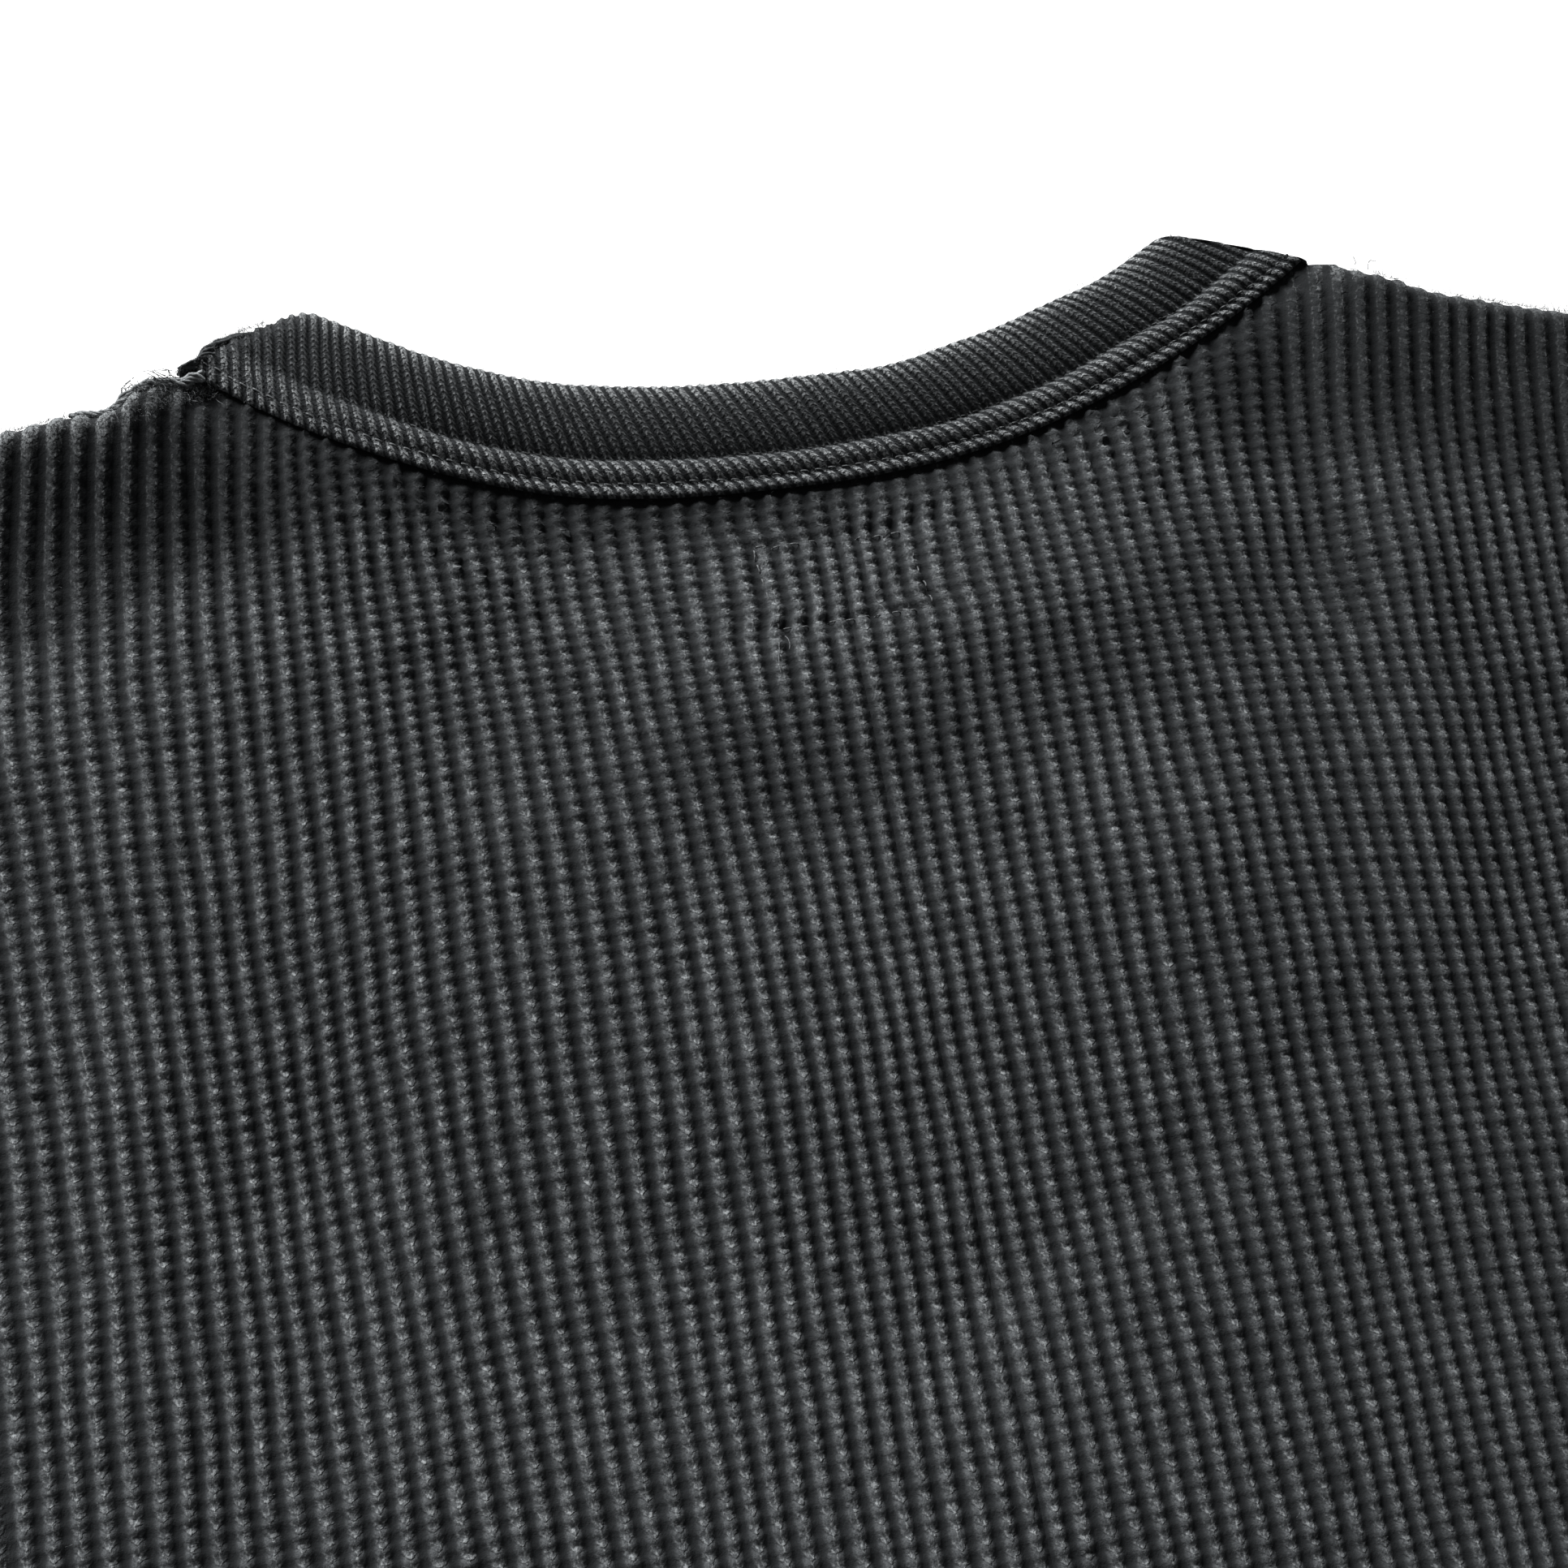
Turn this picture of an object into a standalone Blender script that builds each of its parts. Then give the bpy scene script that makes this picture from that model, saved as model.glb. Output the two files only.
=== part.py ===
"""Thermal top: a waffle-knit long-sleeved top with a bound rib neck, laid flat with its back up.

Units are metres. +Z is up and the surface it lies on is z = 0. +Y points to the neck and +X to
the right sleeve. Every piece is first worked out in the garment's own plan, whose origin is the
middle of the line between the two high shoulder points, and then moved so that the middle of
the whole top's box stands over the origin.
"""

import math

import bmesh
import bpy
import numpy as np

# ---------------------------------------------------------------- cloth
WALL = 0.0016  # waffle knit between its grooves
WAFFLE_RIB_PITCH = 0.0037  # from one upright waffle rib to the next
WAFFLE_RIB_HEIGHT = 0.0006
RIB_PITCH = 0.0019  # from one rib of the 1x1 trim to the next
RIB_HEIGHT = 0.0003
SEAM_GAP = 0.0004  # between two pieces that are sewn edge to edge
LAYER_GAP = 0.00035  # between two layers that lie on each other
FLAT_FADE = 0.010  # ribs die away over this length where they go into a seam

# ---------------------------------------------------------------- neck
NECK_HALF_WIDTH = 0.0955  # centre line to the high shoulder point
BACK_NECK_DROP = 0.0318
FRONT_NECK_DROP = 0.095
LEFT_NECK_POWER = 2.8  # how square the back neck curve is on each side
RIGHT_NECK_POWER = 2.1
SHOULDER_SLOPE = math.radians(17)

# ---------------------------------------------------------------- body and sleeves
SHOULDER_HALF_WIDTH = 0.228
CHEST_HALF_WIDTH = 0.270
ARMHOLE_DEPTH = 0.2045
ARMHOLE_POWER = 3.2
BODY_LENGTH = 0.690  # high shoulder point to hem
SLEEVE_SLOPE = math.radians(30)
SLEEVE_LENGTH = 0.575  # along the top fold, without the cuff
SLEEVE_END_WIDTH = 0.095
CUFF_LENGTH = 0.065
CUFF_WIDTH = 0.091
CUFF_END_WIDTH = 0.088
CUFF_WALL = 0.0022  # the rib is doubled

# ---------------------------------------------------------------- how the layers lie
TURN_RADIUS = 0.0025  # middle of the collar where it turns from back to front
FRONT_NECK_MIDDLE = 0.0023  # height of the middle of the front half of the collar
BACK_NECK_LOW = 0.0024  # and of the back half, at its centre
BACK_NECK_HIGH = FRONT_NECK_MIDDLE + 2 * TURN_RADIUS
DIP_FROM, DIP_TO = 0.074, 0.030  # the back half sinks to the surface between these widths
BACK_REST = WALL + LAYER_GAP  # underside of the back where it lies on the front
OVER_COLLAR = 0.0052  # underside of the back where it lies on the front half of the collar
IN_NECK_HOLE = 0.0032  # underside of the back inside the neck hole
OUTER_PLATEAU, OUTER_FALL = 1.08, 0.35  # the lift over the front collar, in shares of its seam
INNER_FOOT, INNER_RISE = 0.42, 0.32
COLLAR_REACH = 0.030  # the back comes down to its collar over this length
EDGE_ROLL = 0.0043  # the back rolls over the front along shoulders and sides
ROLL_FROM, ROLL_OVER = 0.0045, 0.0100  # where the roll begins past the collar, and how softly
EDGE_TOP, EDGE_UNDER = 0.0009, 0.0005
SHOULDER_EDGE = 0.0020  # how far the rolled shoulder stands past the shoulder line
NECK_EDGE = -0.0016  # and where it stays behind it, inside the collar
FRONT_EDGE = -0.0016
FRONT_LEVEL, FRONT_RAMP = 0.004, 0.010  # the front runs level out of its collar, then down
FRONT_INSET = 0.0036
FRONT_TUCK = 0.0006  # the front's armhole edge stays this far inside the back's

# ---------------------------------------------------------------- collar section
# One row for each line along the ring: how far up from its lower edge, how far out from its
# middle, and the share of the rib height that it carries.
COLLAR_OUTSIDE = (
    # up, out, rib
    (0.0005, 0.0021, 1.0),  # lower edge
    (0.0020, 0.0019, 0.4),  # groove of the lower stitching
    (0.0043, 0.0026, 1.0),  # raised strip over the panel's edge
    (0.0069, 0.0017, 0.4),  # crease of the upper stitching
    (0.0095, 0.0019, 1.0),  # band
    (0.0190, 0.0011, 0.9),  # top fold
)
SLOT_DEPTH, SLOT_HALF = 0.0060, 0.0012
LEG = 0.0023
COLLAR_INSIDE = (
    # up, out
    (0.0197, -0.0002),  # top fold
    (0.0095, -0.0015),  # band
    (0.0069, -LEG),  # inner leg
    (0.0002, -LEG),
    (0.0002, -SLOT_HALF),  # slot that holds the panel's edge
    (SLOT_DEPTH, -SLOT_HALF),
    (SLOT_DEPTH, SLOT_HALF),
    (0.0002, SLOT_HALF),
)
PANEL_IN_SLOT = 0.0054  # how far the panels reach up into the slot
SEAM_RUNS_ON = 0.020  # the back's neck line is carried past the shoulder by this much
RIB_FADE = 0.006  # the ribs die away over this length under the wearer's chin
RIB_LEAN = 0.58  # the ribs lean by this much along the neck for each unit up
LEAN_FADE = 0.060
PLAIN_STEP = 0.0085  # stations along the ring where nothing turns
TURN_STEP = 0.0020  # and where the ring turns over the shoulder
TURN_ZONE = (0.016, 0.022)  # before and after the high shoulder point

# ---------------------------------------------------------------- soft folds
# One row for each fold: where it starts and ends in plan, how wide and how high it is.
BODY_FOLDS = (
    # x0, y0, x1, y1, width, height
    (0.101, -0.045, 0.084, -0.130, 0.011, 0.0016),
    (-0.132, -0.050, -0.104, -0.120, 0.014, 0.0012),
    (0.072, -0.130, -0.030, -0.210, 0.022, 0.0012),
    (0.222, -0.130, 0.180, -0.300, 0.016, 0.0026),
    (-0.224, -0.120, -0.176, -0.290, 0.018, 0.0024),
    (-0.240, -0.215, -0.150, -0.430, 0.022, 0.0028),
    (0.245, -0.240, 0.190, -0.470, 0.020, 0.0027),
    (-0.060, -0.250, -0.085, -0.520, 0.026, 0.0018),
    (0.045, -0.300, 0.070, -0.600, 0.024, 0.0020),
    (-0.165, -0.420, -0.190, -0.690, 0.022, 0.0022),
    (0.150, -0.480, 0.165, -0.690, 0.020, 0.0021),
    (-0.020, -0.560, -0.010, -0.690, 0.026, 0.0018),
)
SLEEVE_FOLDS = (
    # along0, across0, along1, across1, width, height
    (0.060, 0.020, 0.200, 0.080, 0.020, 0.0022),
    (0.130, 0.120, 0.300, 0.070, 0.018, 0.0026),
    (0.250, 0.030, 0.360, 0.090, 0.016, 0.0022),
    (0.330, 0.095, 0.450, 0.020, 0.016, 0.0024),
    (0.440, 0.080, 0.540, 0.040, 0.014, 0.0018),
)

# ---------------------------------------------------------------- how finely each piece is cut up
SEAM_POINTS = {"back": 160, "turn": 40, "front": 200}
SEAM_THINNING = 6
BODY_ROWS = (0.0, 0.0015, 0.005, 0.024, 0.048, 0.074, 0.108, 0.185, 0.320)
FRONT_ROWS = (0.0, 0.007, 0.018, 0.045, 0.160)
SLEEVE_ROWS = (0.0, 0.20, 0.40, 0.60, 0.80, 1.0)
CUFF_ROWS = (0.0, 0.95, 1.0)
BACK_UPPER_FINE = (0.1, 0.2, 0.3)  # shares of the armhole's depth
BACK_UPPER_COARSE = np.linspace(0.12, 0.96, 11)
BACK_MIDDLE = np.linspace(0.0, 0.130, 15)
BACK_SIDE_TURN = 0.0026
FRONT_UPPER = np.linspace(0.20, 0.97, 8)
FRONT_NECK_COLUMNS = 11
FRONT_PAST_NECK = np.array((0.0015, 0.006, 0.012))
SLEEVE_PLAIN, CUFF_PLAIN = 11, 7
TUBE_EDGE = 0.003  # a flattened tube's underside turns up over this width
TUBE_EDGE_STEP = 0.0012
TUBE_TOP_ROUND = 1.4  # its upper side turns down over this many of its half thickness
TUBE_FIRST, TUBE_SECOND = 0.01, 0.02  # where those edge lines count across
TAPER_POWER = 1.15
CUFF_PINCH = 0.4  # the cuff's folded end loses this share of its wall
FOLD_RUN_OUT = 0.35
SHARP_ANGLE = math.radians(40)

CHARCOAL = (0.034, 0.036, 0.038)
CHARCOAL_RIB = (0.030, 0.031, 0.033)
CLOTH_ROUGHNESS = 0.95


# ================================================================ small helpers
def smooth(value):
    """0 to 1 with soft ends."""
    t = np.clip(value, 0.0, 1.0)
    return t * t * (3.0 - 2.0 * t)


def between(low, high, share):
    return low + (high - low) * share


def quarter_round(distance, radius):
    """Height share of a rounded edge, 0 at the edge and 1 from one radius inwards."""
    inward = np.clip(distance / radius, 0.0, 1.0)
    return np.sqrt(1.0 - (1.0 - inward) ** 2)


def fold_height(folds, x, y):
    """Height of the soft folds at each point, which run out at both ends."""
    height = np.zeros(np.broadcast(x, y).shape)
    for x0, y0, x1, y1, width, top in folds:
        run = np.array((x1 - x0, y1 - y0))
        along = ((x - x0) * run[0] + (y - y0) * run[1]) / (run @ run)
        off = ((x - x0) * run[1] - (y - y0) * run[0]) / math.sqrt(run @ run)
        past = FOLD_RUN_OUT / 2
        ends = smooth((along + past) / FOLD_RUN_OUT) * smooth((1.0 + past - along) / FOLD_RUN_OUT)
        height = height + top * ends * np.exp(-((off / width) ** 2))
    return height


# ================================================================ neck curve
def shoulder_axes(side):
    """Along the shoulder outwards, and square to it towards the neck."""
    c, s = math.cos(SHOULDER_SLOPE), math.sin(SHOULDER_SLOPE)
    return np.array((side * c, -s)), np.array((side * s, c))


def half_neck(side):
    """The neck seam of one side, unrolled over the shoulder, from back centre to front centre.

    Returns points (u, v): u runs along the shoulder, v across it. v < 0 lies on the back,
    0 < v < half a turn goes over the shoulder, and what is beyond lies on the front.
    """
    power = LEFT_NECK_POWER if side < 0 else RIGHT_NECK_POWER
    along, across = shoulder_axes(side)
    corner = np.array((side * NECK_HALF_WIDTH, 0.0))
    half_turn = math.pi * TURN_RADIUS

    t = np.linspace(0.0, 1.0, SEAM_POINTS["back"])
    back = np.stack((side * NECK_HALF_WIDTH * t, -BACK_NECK_DROP * (1.0 - t**power)), axis=1)
    back_uv = np.stack(((back - corner) @ along, (back - corner) @ across), axis=1)

    start = back_uv[-1] - back_uv[-2]
    start /= np.linalg.norm(start)
    end = np.array((math.sin(SHOULDER_SLOPE), math.cos(SHOULDER_SLOPE)))
    mean = start + end
    landing = np.array((half_turn * mean[0] / mean[1], half_turn))
    pull = np.linalg.norm(landing)
    q = np.linspace(0.0, 1.0, SEAM_POINTS["turn"])[1:, None]
    turn_uv = (
        (q**3 - 2 * q**2 + q) * pull * start
        + (3 * q**2 - 2 * q**3) * landing
        + (q**3 - q**2) * pull * end
    )

    foot = corner + landing[0] * along
    angle = np.linspace(0.0, math.pi / 2, SEAM_POINTS["front"])[1:]
    front = np.stack(
        (foot[0] * np.cos(angle), foot[1] - (FRONT_NECK_DROP + foot[1]) * np.sin(angle)), axis=1
    )
    front_uv = np.stack(
        ((front - corner) @ along, half_turn - (front - corner) @ across), axis=1
    )
    points = np.concatenate((back_uv, turn_uv, front_uv))
    lengths = np.concatenate(([0.0], np.cumsum(np.linalg.norm(np.diff(points, axis=0), axis=1))))
    return {"points": points, "lengths": lengths, "hps": lengths[len(back_uv) - 1]}


NECK = {-1: half_neck(-1), 1: half_neck(1)}
RIGHT_LENGTH = NECK[1]["lengths"][-1]
RING_LENGTH = RIGHT_LENGTH + NECK[-1]["lengths"][-1]


def back_neck_height(x):
    """Middle height of the back half of the collar."""
    lift = smooth((np.abs(x) - DIP_TO) / (DIP_FROM - DIP_TO))
    return between(BACK_NECK_LOW, BACK_NECK_HIGH, lift)


def over_the_shoulder(side, u, v, out):
    """Plan and height of unrolled points, moved out from the collar's middle."""
    along, across = shoulder_axes(side)
    corner = np.array((side * NECK_HALF_WIDTH, 0.0))
    half_turn = math.pi * TURN_RADIUS
    angle = np.clip(v / TURN_RADIUS, 0.0, math.pi)
    reach = np.where(v < 0, v, np.where(v > half_turn, half_turn - v, 0.0))
    reach = reach + (TURN_RADIUS + out) * np.sin(angle)
    plan = corner + u[:, None] * along + reach[:, None] * across
    middle = FRONT_NECK_MIDDLE + TURN_RADIUS
    turning = middle + (TURN_RADIUS + out) * np.cos(angle)
    on_back = back_neck_height(plan[:, 0]) + out
    height = np.where(v < 0, on_back, turning)
    return np.column_stack((plan, np.maximum(height, 0.0)))


def ring_points(stations, up, out):
    """Points of one line along the collar. Stations run from front centre up the right side."""
    stations = np.mod(stations, RING_LENGTH)
    points = np.zeros((len(stations), 3))
    for side in (1, -1):
        half = NECK[side]
        mine = stations <= RIGHT_LENGTH if side == 1 else stations > RIGHT_LENGTH
        length = RIGHT_LENGTH - stations[mine] if side == 1 else stations[mine] - RIGHT_LENGTH
        u, v = (np.interp(length, half["lengths"], half["points"][:, k]) for k in (0, 1))
        slope = np.gradient(half["points"], half["lengths"], axis=0)
        tu, tv = (np.interp(length, half["lengths"], slope[:, k]) for k in (0, 1))
        size = np.hypot(tu, tv)
        raised = np.broadcast_to(out, stations.shape)[mine]
        points[mine] = over_the_shoulder(side, u - up * tv / size, v + up * tu / size, raised)
    return points


def plan_of_seam(side, up, on_back):
    """Plan of the neck seam on one side, offset up into the collar."""
    half = NECK[side]
    u, v = half["points"].T
    slope = np.gradient(half["points"], half["lengths"], axis=0)
    size = np.linalg.norm(slope, axis=1)
    u, v = u - up * slope[:, 1] / size, v + up * slope[:, 0] / size
    along, across = shoulder_axes(side)
    corner = np.array((side * NECK_HALF_WIDTH, 0.0))
    half_turn = math.pi * TURN_RADIUS
    if on_back:
        keep = half["lengths"] <= half["hps"]
        return corner + u[keep, None] * along + v[keep, None] * across
    keep = half["points"][:, 1] >= half_turn
    return corner + u[keep, None] * along + (half_turn - v[keep, None]) * across


BACK_SEAM = np.concatenate((plan_of_seam(-1, 0.0, True)[::-1], plan_of_seam(1, 0.0, True)))
BACK_SEAM = BACK_SEAM[::SEAM_THINNING]
FRONT_SEAM = np.concatenate((plan_of_seam(-1, 0.0, False), plan_of_seam(1, 0.0, False)[::-1]))


# ================================================================ body outline
SHOULDER_POINT = np.array(
    (
        SHOULDER_HALF_WIDTH,
        -(SHOULDER_HALF_WIDTH - NECK_HALF_WIDTH) * math.tan(SHOULDER_SLOPE)
        + SHOULDER_EDGE / math.cos(SHOULDER_SLOPE),
    )
)
ARMHOLE_WIDTH = CHEST_HALF_WIDTH - SHOULDER_HALF_WIDTH


def rolled(x):
    """0 inside the collar, 1 where the shoulder edge rolls over the front."""
    return smooth((np.abs(x) - NECK_HALF_WIDTH - ROLL_FROM) / ROLL_OVER)


def shoulder_line(x, edge):
    drop = (np.abs(x) - NECK_HALF_WIDTH) * math.tan(SHOULDER_SLOPE)
    return edge / math.cos(SHOULDER_SLOPE) - drop


def armhole_line(x):
    share = np.clip((np.abs(x) - SHOULDER_HALF_WIDTH) / ARMHOLE_WIDTH, 0.0, 1.0)
    return SHOULDER_POINT[1] - ARMHOLE_DEPTH * share ** (1.0 / ARMHOLE_POWER)


def neck_line(x, on_back):
    """Upper edge of a panel in the neck, as far as it reaches, and very high elsewhere."""
    line = np.full(np.shape(x), np.inf)
    for side in (-1, 1):
        seam = plan_of_seam(side, PANEL_IN_SLOT, on_back)
        if on_back:
            step = seam[-1] - seam[-2]
            past = seam[-1] + SEAM_RUNS_ON * step / np.linalg.norm(step)
            seam = np.concatenate((seam, past[None]))
        order = np.argsort(np.abs(seam[:, 0]))
        reach = np.abs(seam[order, 0])
        mine = (np.sign(x) == side) | (x == 0)
        y = np.interp(np.abs(x), reach, seam[order, 1], right=np.inf)
        line = np.where(mine & (np.abs(x) <= reach[-1]), y, line)
    return line


def upper_edge(x, on_back):
    edge = between(NECK_EDGE, SHOULDER_EDGE, rolled(x)) if on_back else FRONT_EDGE
    top = np.minimum(shoulder_line(x, edge), neck_line(x, on_back))
    reach = np.abs(x) + (0.0 if on_back else FRONT_TUCK)
    return np.where(reach > SHOULDER_HALF_WIDTH, np.minimum(armhole_line(reach), top), top)


# ================================================================ how high the panels lie
def distance_to(line, x, y):
    """Distance to a line of points in plan, and the x of the nearest of them."""
    gaps = np.hypot(x[..., None] - line[:, 0], y[..., None] - line[:, 1])
    nearest = gaps.argmin(axis=-1)
    return gaps.min(axis=-1), line[nearest, 0]


def back_underside(x, y):
    """Height of the inside of the back panel, above what lies under it."""
    foot_x, foot_y = FRONT_SEAM[:, 0].max(), FRONT_SEAM[:, 1].max()
    depth = np.clip(foot_y - y, 0.0, None) / (FRONT_NECK_DROP + foot_y)
    ring = np.hypot(x / foot_x, depth)
    past = smooth(1.0 - (ring - OUTER_PLATEAU) / OUTER_FALL)
    outside = between(BACK_REST, OVER_COLLAR, past)
    inside = between(IN_NECK_HOLE, OVER_COLLAR, smooth((ring - INNER_FOOT) / INNER_RISE))
    lying = np.where(ring > 1.0, outside, inside)
    gap, seam_x = distance_to(BACK_SEAM, x, y)
    above = (np.abs(x) < NECK_HALF_WIDTH) & (y > np.interp(x, BACK_SEAM[:, 0], BACK_SEAM[:, 1]))
    near = np.where(above, 1.0, smooth(1.0 - gap / COLLAR_REACH))
    in_collar = back_neck_height(np.where(above, x, seam_x)) - WALL / 2
    folds = fold_height(BODY_FOLDS, x, y) * (1.0 - near)
    return between(lying, in_collar, near) + folds


def front_underside(x, y):
    """The front lies on the surface and rises only into its collar."""
    gap, _ = distance_to(FRONT_SEAM, x, y)
    foot_x, foot_y = FRONT_SEAM[:, 0].max(), FRONT_SEAM[:, 1].max()
    ring = np.hypot(x / foot_x, np.clip(foot_y - y, 0.0, None) / (FRONT_NECK_DROP + foot_y))
    rise = np.where(ring < 1.0, 1.0, smooth(1.0 - (gap - FRONT_LEVEL) / FRONT_RAMP))
    return rise * (FRONT_NECK_MIDDLE - WALL / 2)


def edge_share(x, y, top, inset):
    """0 at a rolled edge and 1 one roll inwards, for a face that lies inset from the outer one."""
    sides = quarter_round(CHEST_HALF_WIDTH - inset - np.abs(x), EDGE_ROLL - inset)
    down = quarter_round((top - y) * math.cos(SHOULDER_SLOPE), EDGE_ROLL - inset)
    along = rolled(x) * (np.abs(x) <= SHOULDER_HALF_WIDTH)
    return np.minimum(sides, between(1.0, down, along))


# ================================================================ meshes
def zip_edges(first, first_at, second, second_at):
    """Triangles between two rows of points of different counts, in step with their places."""
    faces = []
    i = j = 0
    while i < len(first) - 1 or j < len(second) - 1:
        ahead = i < len(first) - 1 and (
            j == len(second) - 1 or first_at[i + 1] <= second_at[j + 1]
        )
        if ahead:
            faces.append((first[i], first[i + 1], second[j]))
            i += 1
        else:
            faces.append((first[i], second[j + 1], second[j]))
            j += 1
    return faces


def grid_faces(index):
    """Quads over a grid of point numbers."""
    a, b, c, d = index[:-1, :-1], index[1:, :-1], index[1:, 1:], index[:-1, 1:]
    return np.stack((a, b, c, d), axis=-1).reshape(-1, 4).tolist()


def solid(points, faces):
    return {"points": np.asarray(points), "faces": faces}


def panel(outer, outer_x, inner, inner_x):
    """A closed wall between an outer and an inner grid (columns across, rows upwards)."""
    columns, rows = outer.shape[:2]
    top = np.arange(columns * rows).reshape(columns, rows)
    low = np.arange(inner.shape[0] * rows).reshape(-1, rows) + top.size
    faces = grid_faces(top) + grid_faces(low[::-1])
    for j in (0, rows - 1):
        faces += zip_edges(top[:, j], outer_x, low[:, j], inner_x)
    for i in (0, -1):
        faces += [(top[i, j], top[i, j + 1], low[i, j + 1], low[i, j]) for j in range(rows - 1)]
    return solid(np.concatenate((outer.reshape(-1, 3), inner.reshape(-1, 3))), faces)


def panel_grid(columns, upper, rows, height):
    """Points of one face: rows stand at set distances below the upper edge, the last at the hem."""
    y = np.concatenate(
        (np.full((len(columns), 1), -BODY_LENGTH), (upper[:, None] - np.array(rows))[:, ::-1]),
        axis=1,
    )
    x = np.broadcast_to(columns[:, None], y.shape)
    return np.stack((x, y, height(x, y, upper[:, None])), axis=-1)


def armhole_columns(shares):
    """Widths at even steps down the armhole, where it runs nearly upright."""
    return SHOULDER_HALF_WIDTH + ARMHOLE_WIDTH * np.array(shares) ** ARMHOLE_POWER


def both_sides(widths):
    widths = np.unique(np.round(widths, 6))
    return np.unique(np.concatenate((-widths, widths)))


def back_panel():
    pitch = WAFFLE_RIB_PITCH
    upright = np.arange(0.0, CHEST_HALF_WIDTH, pitch / 2)
    fine = both_sides(
        np.concatenate((upright, armhole_columns(BACK_UPPER_FINE), (CHEST_HALF_WIDTH,)))
    )
    coarse = both_sides(
        np.concatenate(
            (
                BACK_MIDDLE,
                np.linspace(BACK_MIDDLE[-1], SHOULDER_HALF_WIDTH, 6)[1:],
                armhole_columns(BACK_UPPER_COARSE),
                CHEST_HALF_WIDTH - np.array((EDGE_ROLL, BACK_SIDE_TURN, WALL)),
            )
        )
    )

    def outer_height(x, y, top):
        rib = 0.5 + 0.5 * np.cos(2.0 * math.pi * x / pitch)
        seam = smooth((top - y - PANEL_IN_SLOT) / FLAT_FADE)
        full = back_underside(x, y) + WALL + WAFFLE_RIB_HEIGHT * rib * seam
        return between(EDGE_TOP, full, edge_share(x, y, top, 0.0))

    def inner_height(x, y, top):
        return between(EDGE_UNDER, back_underside(x, y), edge_share(x, y, top, WALL))

    upper_fine = upper_edge(fine, True)
    inset = WALL / math.cos(SHOULDER_SLOPE) * rolled(coarse)
    inset = inset * (np.abs(coarse) <= SHOULDER_HALF_WIDTH)
    upper_coarse = upper_edge(coarse, True) - inset
    outer = panel_grid(fine, upper_fine, BODY_ROWS, outer_height)
    inner = panel_grid(coarse, upper_coarse, BODY_ROWS, inner_height)
    return panel(outer, fine, inner, coarse)


def front_panel():
    neck = plan_of_seam(1, PANEL_IN_SLOT, False)[:, 0].max()
    columns = both_sides(
        np.concatenate(
            (
                neck * np.sin(np.linspace(0.0, math.pi / 2, FRONT_NECK_COLUMNS)),
                FRONT_SEAM[:, 0].max() + FRONT_PAST_NECK,
                np.linspace(neck, SHOULDER_HALF_WIDTH - FRONT_TUCK, 5)[2:],
                armhole_columns(FRONT_UPPER) - FRONT_TUCK,
                (CHEST_HALF_WIDTH - FRONT_INSET,),
            )
        )
    )
    upper = upper_edge(columns, False)
    outer = panel_grid(columns, upper, FRONT_ROWS, lambda x, y, top: front_underside(x, y) + WALL)
    inner = panel_grid(columns, upper, FRONT_ROWS, lambda x, y, top: front_underside(x, y))
    return panel(outer, columns, inner, columns)


# ---------------------------------------------------------------- sleeves and cuffs
def sleeve_axes():
    """Along the sleeve's top fold outwards, and across it to the under side, on the right."""
    c, s = math.cos(SLEEVE_SLOPE), math.sin(SLEEVE_SLOPE)
    return np.array((c, -s)), np.array((-s, -c))


def armhole_in_sleeve():
    """The armhole as (across, along) in the sleeve's own axes, moved off the body by the gap."""
    share = np.linspace(0.0, 1.0, 120)
    plan = np.stack((ARMHOLE_WIDTH * share**ARMHOLE_POWER, -ARMHOLE_DEPTH * share), axis=1)
    tangent = np.gradient(plan, axis=0)
    tangent /= np.linalg.norm(tangent, axis=1, keepdims=True)
    plan = plan + SEAM_GAP * np.stack((-tangent[:, 1], tangent[:, 0]), axis=1)
    along, across = sleeve_axes()
    return plan @ across, plan @ along


ARMHOLE_ACROSS, ARMHOLE_ALONG = armhole_in_sleeve()
SLEEVE_WIDTH = float(ARMHOLE_ACROSS[-1])
UNDERARM = float(ARMHOLE_ALONG[-1])


def sleeve_width(along):
    taper = np.clip((SLEEVE_LENGTH - along) / (SLEEVE_LENGTH - UNDERARM), 0.0, 1.0)
    return between(SLEEVE_END_WIDTH, SLEEVE_WIDTH, taper**TAPER_POWER)


def cuff_width(along):
    share = np.clip((along - SLEEVE_LENGTH) / CUFF_LENGTH, 0.0, 1.0)
    return between(CUFF_WIDTH, CUFF_END_WIDTH, share)


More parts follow.
